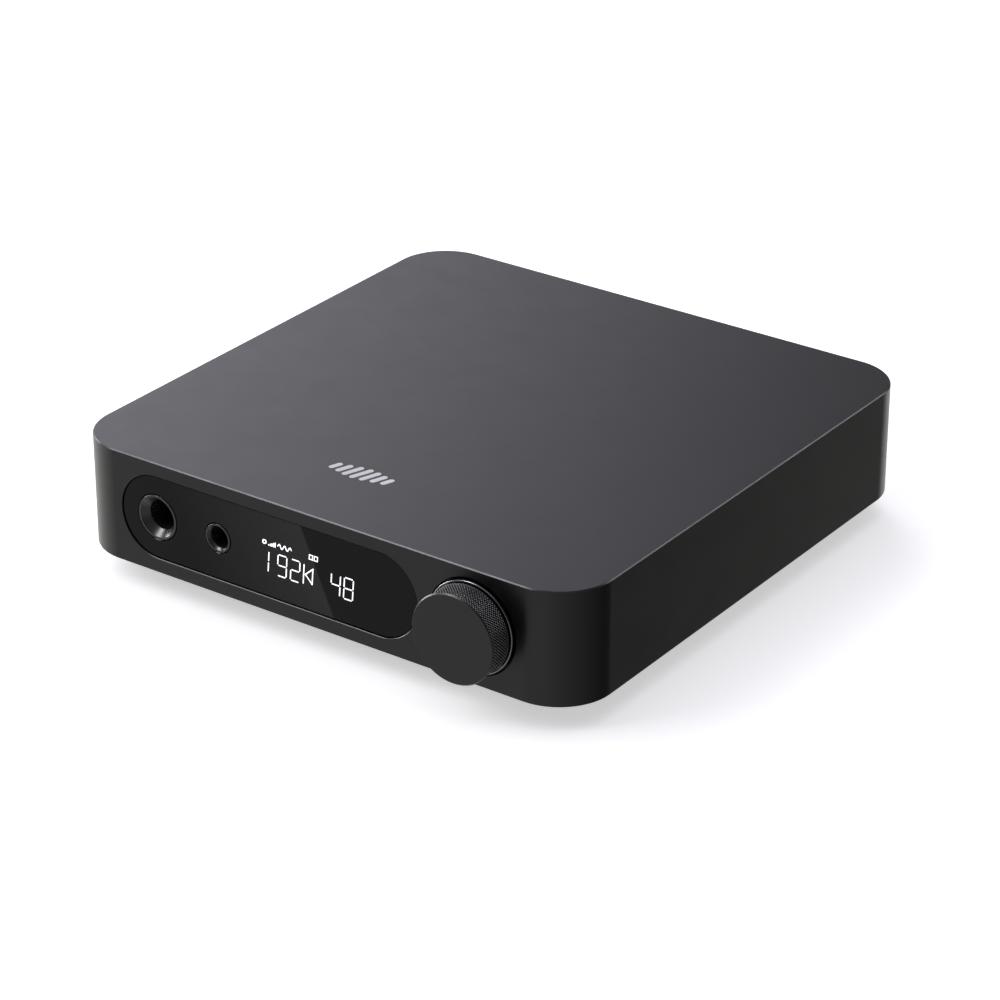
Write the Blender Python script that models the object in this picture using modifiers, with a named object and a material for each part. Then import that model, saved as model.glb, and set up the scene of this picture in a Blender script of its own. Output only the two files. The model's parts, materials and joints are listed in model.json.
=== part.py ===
"""Desktop digital-to-analogue converter with a headphone amplifier.

The origin is on the table under the middle of the object: +X is right, the knob faces -Y, +Z is up.
Every piece is its own object, and the pieces that move have their origin on their joint's axis.
"""

import math

import bmesh
import bpy
from mathutils import Matrix, Vector

MM = 0.001

# Overall case
BODY_WIDTH = 133.0 * MM
BODY_DEPTH = 133.3 * MM
BODY_HEIGHT = 26.4 * MM
OVERALL_HEIGHT = 32.3 * MM
OVERALL_LENGTH = 147.0 * MM
CORNER_RADIUS = 12.74 * MM
TOP_CHAMFER = 0.35 * MM
WALL = 3.6 * MM
ROOF = 3.0 * MM
GAP = 0.3 * MM

HALF_X = BODY_WIDTH / 2
HALF_Y = BODY_DEPTH / 2
HALF_LENGTH = OVERALL_LENGTH / 2
BODY_Z = OVERALL_HEIGHT - BODY_HEIGHT
INNER_X = HALF_X - WALL
INNER_Y = HALF_Y - WALL
INNER_TOP = OVERALL_HEIGHT - ROOF
INNER_RADIUS = CORNER_RADIUS - WALL
CORNER_STEPS = 12

# The line that the knob, the jacks and the window are centred on
AXIS_Z = BODY_Z + 13.3 * MM
FRONT_Y = -HALF_Y

# Pill-shaped window in the front
PILL_LEFT = -52.0 * MM
PILL_RIGHT = 27.4 * MM
PILL_HEIGHT = 19.7 * MM
PILL_GAP = 0.2 * MM
WINDOW_INSET = 0.3 * MM
WINDOW_THICK = 1.5 * MM
PILL_DEPTH = WINDOW_INSET + WINDOW_THICK + GAP
WINDOW_FRONT = FRONT_Y + WINDOW_INSET

# Headphone jacks
JACK_635_X = -42.2 * MM
JACK_635_NOSE = 5.2 * MM
JACK_635_MOUTH = 4.75 * MM
JACK_635_BORE = 3.3 * MM
JACK_44_X = -25.5 * MM
JACK_44_NOSE = 3.32 * MM
JACK_44_MOUTH = 2.95 * MM
JACK_44_BORE = 2.25 * MM
NOSE_FRONT = FRONT_Y + 0.2 * MM
NOSE_CLEAR = 0.2 * MM

# Display behind the window
DISPLAY_X = -0.8 * MM
DISPLAY_WIDTH = 33.0 * MM
DISPLAY_HEIGHT = 12.6 * MM
DISPLAY_THICK = 1.6 * MM

# Volume knob and its rotary encoder
KNOB_X = 41.1 * MM
KNOB_RADIUS = 10.2 * MM
KNOB_FACE = 9.9 * MM
KNOB_RING = 10.5 * MM
KNOB_RING_TOP = 0.75 * MM
KNOB_SKIRT = 1.45 * MM
KNOB_HOLLOW = 7.2 * MM
KNOB_CROWN = 2.0 * MM
RECESS_RADIUS = 10.85 * MM
RECESS_DEPTH = 2.2 * MM
BUSHING_RADIUS = 3.5 * MM
SHAFT_RADIUS = 3.0 * MM

# Boards
BOARD_THICK = 1.6 * MM
BOARD_TOP = 12.4 * MM
BOARD_SEAT = BOARD_TOP + GAP
BOSS_X = 57.2 * MM
BOSS_Y = 57.3 * MM
BOSS_RADIUS = 4.4 * MM
BOSS_FOOT = 7.1 * MM
BOSS_HOLE = 1.25 * MM
BOSS_HOLE_TOP = 16.0 * MM

# Bottom cover and feet
COVER_BOTTOM = 3.6 * MM
COVER_TOP = 6.8 * MM
FOOT_RADIUS = 5.5 * MM
FOOT_PLACE = 42.0 * MM
STANDOFF_RADIUS = 3.0 * MM
STANDOFF_HOLE = 1.3 * MM
STANDOFFS = ((-50.0, -30.0), (50.0, -30.0), (-50.0, 34.0), (50.0, 34.0))

# Back of the case
BACK_Y = HALF_Y
PANEL_HALF_X = 53.7 * MM
PANEL_LOW = 9.3 * MM
PANEL_HIGH = 27.7 * MM
PANEL_THICK = 2.0 * MM
PANEL_CORNER = 2.0 * MM
PANEL_OUTER = BACK_Y - 0.3 * MM
PANEL_INNER = PANEL_OUTER - PANEL_THICK
REAR_OPENING_X = 47.5 * MM
REAR_SCREW_X = 51.0 * MM
REAR_SCREW_Z = 18.5 * MM
REAR_PAD = 3.4 * MM
HOUSING_FRONT = PANEL_INNER - GAP
RCA_Z = 19.4 * MM
RCA_RADIUS = 4.15 * MM
RCA_BORE = 3.55 * MM
RCA_CORE = 3.2 * MM
RCA_CORE_BORE = 1.6 * MM
RCA_CORE_FOOT = 5.5 * MM
RCA_PLACES = {"rca_right": 40.0 * MM, "rca_left": 26.0 * MM, "coax": 11.0 * MM}
OPTICAL_X = -4.0 * MM
OPTICAL_SIZE = (13.0 * MM, 13.5 * MM, 10.0 * MM)
OPTICAL_Z = BOARD_SEAT + OPTICAL_SIZE[2] / 2
OPTICAL_FRONT = BACK_Y + 0.6 * MM
OPTICAL_MOUTH = 8.6 * MM
USB_X = -19.0 * MM
USB_Z = BOARD_SEAT + 1.9 * MM
USB_SIZE = (9.0 * MM, 3.2 * MM, 7.4 * MM)
DC_X = -36.0 * MM
DC_Z = BOARD_SEAT + 5.6 * MM
DC_NOSE = 4.2 * MM
DC_BORE = 2.9 * MM

TO_FRONT = (math.pi / 2, 0.0, 0.0)
TO_BACK = (-math.pi / 2, 0.0, 0.0)
UPSIDE_DOWN = (math.pi, 0.0, 0.0)
UPRIGHT = (0.0, 0.0, 0.0)

# Colour, roughness and metallic value of each finish
FINISHES = {
    "dark_anodised": ((0.055, 0.055, 0.060), 0.38, 0.9),
    "knob_anodised": ((0.030, 0.030, 0.032), 0.42, 0.9),
    "black_gloss": ((0.010, 0.010, 0.011), 0.08, 0.0),
    "black_plastic": ((0.018, 0.018, 0.019), 0.45, 0.0),
    "grey_plastic": ((0.25, 0.25, 0.26), 0.50, 0.0),
    "rubber": ((0.020, 0.020, 0.021), 0.85, 0.0),
    "steel": ((0.55, 0.55, 0.56), 0.30, 1.0),
    "black_steel": ((0.05, 0.05, 0.052), 0.40, 1.0),
    "gold": ((0.86, 0.63, 0.26), 0.22, 1.0),
    "copper_film": ((0.62, 0.35, 0.16), 0.45, 0.2),
    "green_board": ((0.015, 0.09, 0.035), 0.40, 0.0),
    "black_board": ((0.012, 0.014, 0.016), 0.40, 0.0),
    "chip": ((0.020, 0.020, 0.022), 0.55, 0.0),
    "display_glass": ((0.015, 0.017, 0.020), 0.06, 0.0),
    "white_core": ((0.80, 0.80, 0.78), 0.45, 0.0),
    "red_core": ((0.60, 0.02, 0.02), 0.45, 0.0),
    "orange_core": ((0.80, 0.28, 0.02), 0.45, 0.0),
    "aluminium_can": ((0.60, 0.61, 0.63), 0.35, 1.0),
}


# ---------------------------------------------------------------- scene and materials

def clear_scene():
    """Remove what the file holds at the start."""
    for obj in list(bpy.data.objects):
        bpy.data.objects.remove(obj, do_unlink=True)


def make_collection(name):
    """Add a collection to the scene."""
    collection = bpy.data.collections.new(name)
    bpy.context.scene.collection.children.link(collection)
    return collection


def make_finish(name):
    """Return the Principled material of one finish, made on first use."""
    material = bpy.data.materials.get(name)
    if material:
        return material
    colour, roughness, metallic = FINISHES[name]
    material = bpy.data.materials.new(name)
    material.use_nodes = True
    shader = material.node_tree.nodes["Principled BSDF"]
    shader.inputs["Base Color"].default_value = (*colour, 1.0)
    shader.inputs["Roughness"].default_value = roughness
    shader.inputs["Metallic"].default_value = metallic
    return material


clear_scene()
PARTS = make_collection("desktop_dac")
CUTTERS = make_collection("cutters")


# ---------------------------------------------------------------- shapes

def add_object(name, mesh, finish, place=(0.0, 0.0, 0.0), turn=UPRIGHT):
    """Link a mesh as a part, or as a hidden cutter where it has no finish."""
    obj = bpy.data.objects.new(name, mesh)
    obj.location = place
    obj.rotation_euler = turn
    if finish is None:
        CUTTERS.objects.link(obj)
        obj.hide_render = True
        obj.display_type = "WIRE"
        return obj
    PARTS.objects.link(obj)
    if not mesh.materials:
        mesh.materials.append(make_finish(finish))
    return obj


def mesh_from(name, bm, smooth=True):
    """Turn a bmesh into a mesh, smooth except at its real edges."""
    mesh = bpy.data.meshes.new(name)
    bm.normal_update()
    bm.to_mesh(mesh)
    bm.free()
    if smooth:
        mesh.shade_smooth()
        mesh.set_sharp_from_angle(angle=math.radians(35))
    return mesh


def edges_along(bm, axis):
    """Return the edges that run along one axis of a box."""
    found = []
    for edge in bm.edges:
        run = edge.verts[0].co - edge.verts[1].co
        if abs(run[axis]) > 0.999 * run.length:
            found.append(edge)
    return found


def block(name, low, high, finish=None, axis=2, corner=0.0, steps=4, rim=0.0):
    """A box between two corner points.

    corner rounds the four edges along axis, and rim chamfers the far face's outline.
    """
    size = Vector(high) - Vector(low)
    bm = bmesh.new()
    bmesh.ops.create_cube(bm, size=1.0)
    bmesh.ops.scale(bm, vec=size, verts=bm.verts)
    if corner:
        bmesh.ops.bevel(bm, geom=edges_along(bm, axis), offset=corner, segments=steps,
                        profile=0.5, affect="EDGES", clamp_overlap=True)
    if rim:
        limit = size[axis] / 2 - 0.01 * MM
        far = [e for e in bm.edges if min(v.co[axis] for v in e.verts) > limit]
        bmesh.ops.bevel(bm, geom=far, offset=rim, segments=1, affect="EDGES")
    middle = (Vector(high) + Vector(low)) / 2
    return add_object(name, mesh_from(name, bm), finish, middle)


def drums(name, places, radius, low, high, finish=None, axis=2, sides=24):
    """One or more round bars along an axis: places gives their centres on the other two axes."""
    bm = bmesh.new()
    turn = {0: Matrix.Rotation(math.pi / 2, 4, "Y"), 1: Matrix.Rotation(math.pi / 2, 4, "X"),
            2: Matrix.Identity(4)}[axis]
    for place in places:
        centre = list(place)
        centre.insert(axis, (low + high) / 2)
        bmesh.ops.create_cone(bm, cap_ends=True, segments=sides, radius1=radius, radius2=radius,
                              depth=high - low, matrix=Matrix.Translation(centre) @ turn)
    return add_object(name, mesh_from(name, bm), finish)


def turned(name, profile, finish=None, place=(0.0, 0.0, 0.0), turn=UPRIGHT, steps=24):
    """A solid of revolution about local Z.

    profile is a list of (radius, height) points down the outer side. It starts and ends on the
    axis for a solid piece, and is closed into a ring where the piece has a bore right through.
    """
    bm = bmesh.new()
    points = [bm.verts.new((radius, 0.0, height)) for radius, height in profile]
    for first, second in zip(points, points[1:]):
        bm.edges.new((first, second))
    if profile[0][0] > 0.0:
        bm.edges.new((points[-1], points[0]))
    mesh = bpy.data.meshes.new(name)
    bm.to_mesh(mesh)
    bm.free()
    obj = add_object(name, mesh, finish, place, turn)
    screw = obj.modifiers.new("turn", "SCREW")
    screw.axis = "Z"
    screw.steps = steps
    screw.render_steps = steps
    screw.use_merge_vertices = True
    screw.merge_threshold = 0.001 * MM
    screw.use_smooth_shade = True
    return obj


def freeze(obj):
    """Replace a part's base mesh with its evaluated one, and drop its modifiers."""
    graph = bpy.context.evaluated_depsgraph_get()
    mesh = bpy.data.meshes.new_from_object(obj.evaluated_get(graph))
    bm = bmesh.new()
    bm.from_mesh(mesh)
    bmesh.ops.remove_doubles(bm, verts=bm.verts, dist=0.001 * MM)
    bm.to_mesh(mesh)
    bm.free()
    obj.modifiers.clear()
    obj.data = mesh
    return obj


def flat(name, outline, thick, finish=None, place=(0.0, 0.0, 0.0), turn=UPRIGHT):
    """A flat plate: a 2D outline in local XY, given half its thickness each way along local Z."""
    curve = bpy.data.curves.new(name, "CURVE")
    curve.dimensions = "2D"
    curve.fill_mode = "BOTH"
    curve.extrude = thick / 2
    spline = curve.splines.new("POLY")
    spline.points.add(len(outline) - 1)
    for point, (x, y) in zip(spline.points, outline):
        point.co = (x, y, 0.0, 1.0)
    spline.use_cyclic_u = True
    guide = bpy.data.objects.new(name + "_outline", curve)
    CUTTERS.objects.link(guide)
    graph = bpy.context.evaluated_depsgraph_get()
    mesh = bpy.data.meshes.new_from_object(guide.evaluated_get(graph))
    bpy.data.objects.remove(guide, do_unlink=True)
    bm = bmesh.new()
    bm.from_mesh(mesh)
    bmesh.ops.remove_doubles(bm, verts=bm.verts, dist=0.001 * MM)
    bmesh.ops.recalc_face_normals(bm, faces=bm.faces)
    bm.to_mesh(mesh)
    bm.free()
    mesh.materials.clear()
    return add_object(name, mesh, finish, place, turn)


def stadium(length, height, steps=16):
    """Outline of a pill shape: two half circles joined by straight sides."""
    radius = height / 2
    reach = length / 2 - radius
    outline = []
    for side, start in ((1, -math.pi / 2), (-1, math.pi / 2)):
        for step in range(steps + 1):
            angle = start + math.pi * step / steps
            outline.append((side * reach + radius * math.cos(angle), radius * math.sin(angle)))
    return outline


def strip_outline(path, thick):
    """Outline of a strip of even thickness bent along a path of 2D points."""
    sides = ([], [])
    for index, point in enumerate(path):
        before = Vector(path[max(index - 1, 0)])
        after = Vector(path[min(index + 1, len(path) - 1)])
        run = (after - before).normalized()
        across = Vector((-run.y, run.x)) * thick / 2
        sides[0].append(tuple(Vector(point) + across))
        sides[1].append(tuple(Vector(point) - across))
    return sides[0] + sides[1][::-1]


def boolean(obj, tool, operation):
    """Cut or join a part with a hidden tool object."""
    modifier = obj.modifiers.new(tool.name, "BOOLEAN")
    modifier.operation = operation
    modifier.solver = "EXACT"
    modifier.object = tool
    return obj


def cut(obj, *tools):
    """Take the tools' volumes away from a part."""
    for tool in tools:
        boolean(obj, tool, "DIFFERENCE")
    return obj


def join(obj, *tools):
    """Add the tools' volumes to a part."""
    for tool in tools:
        boolean(obj, tool, "UNION")
    return obj


# ---------------------------------------------------------------- casing

def knob_recess_cutter():
    """Round recess with a chamfered edge, and the smaller hole for the encoder's bushing."""
    edge = 0.15 * MM
    profile = [
        (0.0, 1.0 * MM),
        (RECESS_RADIUS + edge + 1.0 * MM, 1.0 * MM),
        (RECESS_RADIUS, -edge),
        (RECESS_RADIUS, -RECESS_DEPTH),
        (BUSHING_RADIUS + GAP, -RECESS_DEPTH),
        (BUSHING_RADIUS + GAP, -WALL - 1.0 * MM),
        (0.0, -WALL - 1.0 * MM),
    ]
    return turned("recess_cutter", profile, None, (KNOB_X, FRONT_Y, AXIS_Z), TO_FRONT, steps=48)


def build_body_shell():
    """Top and four walls in one piece, open below."""
    shell = block("body_shell", (-HALF_X, -HALF_Y, BODY_Z), (HALF_X, HALF_Y, OVERALL_HEIGHT),
                  "dark_anodised", corner=CORNER_RADIUS, steps=CORNER_STEPS, rim=TOP_CHAMFER)
    cut(shell, block("cavity_cutter", (-INNER_X, -INNER_Y, 0.0), (INNER_X, INNER_Y, INNER_TOP),
                     corner=INNER_RADIUS, steps=CORNER_STEPS))
    corners = [(x, y) for x in (-BOSS_X, BOSS_X) for y in (-BOSS_Y, BOSS_Y)]
    join(shell, drums("boss_tool", corners, BOSS_RADIUS, BOSS_FOOT, INNER_TOP + 1.0 * MM, sides=24))
    for side in (-1, 1):
        x = side * REAR_SCREW_X
        low = (x - REAR_PAD, INNER_Y - 5.0 * MM, REAR_SCREW_Z - REAR_PAD)
        high = (x + REAR_PAD, INNER_Y + 1.0 * MM, REAR_SCREW_Z + REAR_PAD)
        join(shell, block(f"rear_boss_tool_{side}", low, high))
    cut(shell, drums("boss_hole_cutter", corners, BOSS_HOLE, 0.0, BOSS_HOLE_TOP, sides=12))

    middle = (PILL_LEFT + PILL_RIGHT) / 2
    pill = stadium(PILL_RIGHT - PILL_LEFT, PILL_HEIGHT)
    floor_y = FRONT_Y + PILL_DEPTH
    cut(shell, flat("pill_cutter", pill, 2 * PILL_DEPTH, None, (middle, FRONT_Y, AXIS_Z), TO_FRONT))
    slot_x = DISPLAY_WIDTH / 2 + GAP
    slot_z = DISPLAY_HEIGHT / 2 + GAP
    cut(shell, block("display_slot_cutter",
                     (DISPLAY_X - slot_x, floor_y - 1.0 * MM, AXIS_Z - slot_z),
                     (DISPLAY_X + slot_x, floor_y + 3.0 * MM, AXIS_Z + slot_z)))
    for x, radius in ((JACK_635_X, JACK_635_NOSE), (JACK_44_X, JACK_44_NOSE)):
        cut(shell, drums(f"jack_cutter_{radius:.5f}", [(x, AXIS_Z)], radius + GAP,
                         floor_y - 1.0 * MM, floor_y + 3.0 * MM, axis=1))
    cut(shell, knob_recess_cutter())

    cut(shell, block("panel_recess_cutter",
                     (-PANEL_HALF_X - GAP, PANEL_INNER - GAP, PANEL_LOW - GAP),
                     (PANEL_HALF_X + GAP, BACK_Y + 1.0 * MM, PANEL_HIGH + GAP),
                     axis=1, corner=PANEL_CORNER + GAP))
    cut(shell, block("rear_opening_cutter",
                     (-REAR_OPENING_X, INNER_Y - 1.0 * MM, PANEL_LOW + 1.5 * MM),
                     (REAR_OPENING_X, BACK_Y + 1.0 * MM, PANEL_HIGH - 0.9 * MM)))
    places = [(side * REAR_SCREW_X, REAR_SCREW_Z) for side in (-1, 1)]
    cut(shell, drums("rear_screw_cutter", places, BOSS_HOLE, INNER_Y - 4.0 * MM,
                     BACK_Y + 1.0 * MM, axis=1, sides=12))
    return shell


def build_bottom_cover():
    """Plate that closes the shell from below and stands a little proud of it, like a plinth."""
    half_x = INNER_X - GAP
    half_y = INNER_Y - GAP
    cover = block("bottom_cover", (-half_x, -half_y, COVER_BOTTOM), (half_x, half_y, COVER_TOP),
                  "black_steel", corner=INNER_RADIUS - GAP, steps=CORNER_STEPS)
    standoffs = [(x * MM, y * MM) for x, y in STANDOFFS]
    seat = BOARD_TOP - BOARD_THICK - GAP
    join(cover, drums("standoff_tool", standoffs, STANDOFF_RADIUS, COVER_TOP - 1.0 * MM, seat,
                      sides=16))
    cut(cover, drums("standoff_hole_cutter", standoffs, STANDOFF_HOLE, COVER_TOP - 1.5 * MM,
                     seat + 1.0 * MM, sides=12))
    corners = [(x, y) for x in (-BOSS_X, BOSS_X) for y in (-BOSS_Y, BOSS_Y)]
    cut(cover, drums("cover_hole_cutter", corners, 1.6 * MM, 0.0, COVER_TOP + 1.0 * MM, sides=12))
    cut(cover, drums("cover_sink_cutter", corners, 2.7 * MM, 0.0, COVER_BOTTOM + 1.9 * MM,
                     sides=16))
    return cover


def build_feet():
    """Four rubber feet stuck under the cover."""
    height = COVER_BOTTOM - GAP
    profile = [(0.0, height), (FOOT_RADIUS, height), (FOOT_RADIUS, 0.6 * MM),
               (FOOT_RADIUS - 0.6 * MM, 0.0), (0.0, 0.0)]
    first = freeze(turned("foot_front_left", profile, "rubber", steps=20))
    first.location = (-FOOT_PLACE, -FOOT_PLACE, 0.0)
    for name, x, y in (("foot_front_right", 1, -1), ("foot_rear_left", -1, 1),
                       ("foot_rear_right", 1, 1)):
        add_object(name, first.data, "rubber", (x * FOOT_PLACE, y * FOOT_PLACE, 0.0))


def screw_mesh(name, head_radius, head_height, shank_radius, length, finish):
    """A socket-head machine screw: head above the origin along +Z, shank below it."""
    profile = [(0.0, head_height), (head_radius - 0.25 * MM, head_height),
               (head_radius, head_height - 0.25 * MM), (head_radius, 0.0),
               (shank_radius, 0.0), (shank_radius, -length), (0.0, -length)]
    screw = turned(name, profile, finish, steps=12)
    socket = drums(name + "_socket", [(0.0, 0.0)], 0.5 * head_radius, 0.35 * head_height,
                   head_height + 1.0 * MM, sides=6)
    cut(screw, socket)
    freeze(screw)
    mesh = screw.data
    bpy.data.objects.remove(screw, do_unlink=True)
    bpy.data.objects.remove(socket, do_unlink=True)
    return mesh


def build_screws():
    """Cover screws from below, rear panel screws from behind and board screws from above."""
    cover_mesh = screw_mesh("cover_screw", 2.4 * MM, 1.5 * MM, 1.0 * MM, 8.0 * MM, "black_steel")
    under = COVER_BOTTOM + 1.6 * MM
    for front, y in (("front", -BOSS_Y), ("rear", BOSS_Y)):
        for side, x in (("left", -BOSS_X), ("right", BOSS_X)):
            add_object(f"cover_screw_{front}_{side}", cover_mesh, "black_steel", (x, y, under),
                       UPSIDE_DOWN)
    rear_mesh = screw_mesh("rear_screw", 2.3 * MM, 1.4 * MM, 1.0 * MM, 5.5 * MM, "black_steel")
    for side, x in (("left", -REAR_SCREW_X), ("right", REAR_SCREW_X)):
        place = (x, PANEL_OUTER + 0.05 * MM, REAR_SCREW_Z)
        add_object(f"rear_screw_{side}", rear_mesh, "black_steel", place, TO_BACK)
    board_mesh = screw_mesh("board_screw", 2.3 * MM, 1.4 * MM, 1.0 * MM, 5.0 * MM, "steel")
    for index, (x, y) in enumerate(STANDOFFS, start=1):
        add_object(f"board_screw_{index}", board_mesh, "steel",
                   (x * MM, y * MM, BOARD_TOP + 0.05 * MM))


def build_rear_panel():
    """Plate that fills the opening in the back wall, with a hole for each socket and screw."""
    panel = block("rear_panel", (-PANEL_HALF_X, PANEL_INNER, PANEL_LOW),
                  (PANEL_HALF_X, PANEL_OUTER, PANEL_HIGH), "black_steel", axis=1,
                  corner=PANEL_CORNER)
    reach = (PANEL_INNER - 1.0 * MM, PANEL_OUTER + 1.0 * MM)
    sockets = [(x, RCA_Z) for x in RCA_PLACES.values()]
    cut(panel, drums("rca_hole_cutter", sockets, RCA_RADIUS + GAP, *reach, axis=1, sides=24))
    screws = [(side * REAR_SCREW_X, REAR_SCREW_Z) for side in (-1, 1)]
    cut(panel, drums("panel_screw_cutter", screws, 1.4 * MM, *reach, axis=1, sides=12))
    half_x = OPTICAL_SIZE[0] / 2 + GAP
    half_z = OPTICAL_SIZE[2] / 2 + GAP
    cut(panel, block("optical_hole_cutter", (OPTICAL_X - half_x, reach[0], OPTICAL_Z - half_z),
                     (OPTICAL_X + half_x, reach[1], OPTICAL_Z + half_z)))
    slot = stadium(USB_SIZE[0] + 2 * GAP, USB_SIZE[1] + 2 * GAP, steps=6)
    cut(panel, flat("usb_hole_cutter", slot, 2 * (PANEL_THICK + 1.0 * MM), None,
                    (USB_X, PANEL_OUTER, USB_Z), TO_FRONT))
    cut(panel, drums("dc_hole_cutter", [(DC_X, DC_Z)], DC_NOSE + GAP, *reach, axis=1, sides=24))
    return panel


# ---------------------------------------------------------------- front

def build_front_window():
    """Glossy pill that covers the display and lets the two jack noses through."""
    middle = (PILL_LEFT + PILL_RIGHT) / 2
    outline = stadium(PILL_RIGHT - PILL_LEFT - 2 * PILL_GAP, PILL_HEIGHT - 2 * PILL_GAP)
    place = (middle, WINDOW_FRONT + WINDOW_THICK / 2, AXIS_Z)
    window = flat("front_window", outline, WINDOW_THICK, "black_gloss", place, TO_FRONT)
    for x, radius in ((JACK_635_X, JACK_635_NOSE), (JACK_44_X, JACK_44_NOSE)):
        cut(window, drums(f"window_cutter_{radius:.5f}", [(x, AXIS_Z)], radius + NOSE_CLEAR,
                          WINDOW_FRONT - 1.0 * MM, WINDOW_FRONT + 3.0 * MM, axis=1, sides=32))
    return window


def build_display():
    """Display glass behind the window, the frame that holds it to the board, and its ribbon."""
    glass_front = WINDOW_FRONT + WINDOW_THICK + GAP
    half_x = DISPLAY_WIDTH / 2
    half_z = DISPLAY_HEIGHT / 2
    glass_back = glass_front + DISPLAY_THICK
    block("display_panel", (DISPLAY_X - half_x, glass_front, AXIS_Z - half_z),
          (DISPLAY_X + half_x, glass_back, AXIS_Z + half_z), "display_glass")
    frame_front = glass_back + GAP
    frame_back = front_board_face() - GAP
    frame = block("display_frame", (DISPLAY_X - half_x, frame_front, AXIS_Z - half_z),
                  (DISPLAY_X + half_x, frame_back, AXIS_Z + half_z), "black_plastic")
    wall = 1.4 * MM
    cut(frame, block("frame_cutter",
                     (DISPLAY_X - half_x + wall, frame_front - 1.0 * MM, AXIS_Z - half_z + wall),
                     (DISPLAY_X + half_x - wall, frame_back + 1.0 * MM, AXIS_Z + half_z - wall)))
    low = AXIS_Z - half_z + wall + 1.2 * MM
    front = glass_back + 0.4 * MM
    back = frame_back - 0.4 * MM
    path = [(front, low + 3.0 * MM), (front, low + 1.0 * MM), (front + 0.5 * MM, low),
            ((front + back) / 2, low - 0.4 * MM), (back - 0.5 * MM, low), (back, low + 1.0 * MM),
            (back, low + 3.0 * MM)]
    flat("display_ribbon", strip_outline(path, 0.2 * MM), 12.0 * MM, "copper_film",
         (DISPLAY_X, 0.0, 0.0), (math.pi / 2, 0.0, math.pi / 2))


def jack(name, x, nose, mouth, bore, half_width, half_height, back, bore_end, slots):
    """A headphone jack: a box that stands on the board, with a round nose and a blind bore.

    slots lists (sign, low y, high y) of the slots in its roof (+1) or floor (-1) for springs.
    """
    front = -INNER_Y + GAP
    housing = block(name, (x - half_width, front, AXIS_Z - half_height),
                    (x + half_width, back, AXIS_Z + half_height), "black_plastic")
    join(housing, drums(name + "_nose_tool", [(x, AXIS_Z)], nose, NOSE_FRONT, front + 1.0 * MM,
                        axis=1, sides=32))
    lead = mouth - bore
    profile = [(0.0, 1.0 * MM), (mouth + 1.0 * MM, 1.0 * MM), (bore, -lead),
               (bore, -(bore_end - NOSE_FRONT)), (0.0, -(bore_end - NOSE_FRONT))]
    cut(housing, turned(name + "_bore_cutter", profile, None, (x, NOSE_FRONT, AXIS_Z), TO_FRONT,
                        steps=32))
    for index, (sign, low, high) in enumerate(slots):
        ends = sorted((AXIS_Z, AXIS_Z + sign * (half_height + 1.0 * MM)))
        cut(housing, block(f"{name}_slot_{index}", (x - 1.6 * MM, low, ends[0]),
                           (x + 1.6 * MM, high, ends[1])))
    return housing


def leaf_spring(name, x, sign, root, bend, tip, height, touch, thick=0.3 * MM):
    """A bent contact leaf in the YZ plane: it runs from its root down to touch, then up a little."""
    rise = 0.9 * MM
    path = [(root, AXIS_Z + sign * height), (root + (bend - root) * 0.3, AXIS_Z + sign * height),
            (bend, AXIS_Z + sign * touch), (tip, AXIS_Z + sign * (touch + rise))]
    return flat(name, strip_outline(path, thick), 2.4 * MM, "gold", (x, 0.0, 0.0),
                (math.pi / 2, 0.0, math.pi / 2))


def build_jacks():
    """The two headphone jacks and the contact leaves in their slots."""
    jack("jack_635_housing", JACK_635_X, JACK_635_NOSE, JACK_635_MOUTH, JACK_635_BORE,
         6.5 * MM, 6.2 * MM, -36.0 * MM, -38.5 * MM,
         ((1, -52.0 * MM, -40.5 * MM), (-1, -60.5 * MM, -50.0 * MM)))
    leaf_spring("jack_635_tip_spring", JACK_635_X, 1, -51.0 * MM, -44.5 * MM, -42.0 * MM,
                4.9 * MM, 2.75 * MM)
    leaf_spring("jack_635_sleeve_spring", JACK_635_X, -1, -51.0 * MM, -57.0 * MM, -59.5 * MM,
                4.9 * MM, 2.75 * MM)
    jack("jack_44_housing", JACK_44_X, JACK_44_NOSE, JACK_44_MOUTH, JACK_44_BORE,
         4.8 * MM, 6.2 * MM, -42.0 * MM, -44.0 * MM, ((1, -57.0 * MM, -46.0 * MM),))
    leaf_spring("jack_44_contact_spring", JACK_44_X, 1, -56.0 * MM, -50.0 * MM, -47.5 * MM,
                4.4 * MM, 1.9 * MM)


def front_board_face():
    """Where the front board's own front face lies."""
    return -INNER_Y + 8.1 * MM


def build_front_board():
    """Upright board behind the display and the encoder."""
    face = front_board_face()
    return block("front_board", (-19.5 * MM, face, BOARD_SEAT + 0.3 * MM),
                 (51.0 * MM, face + BOARD_THICK, 28.6 * MM), "green_board")


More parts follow.
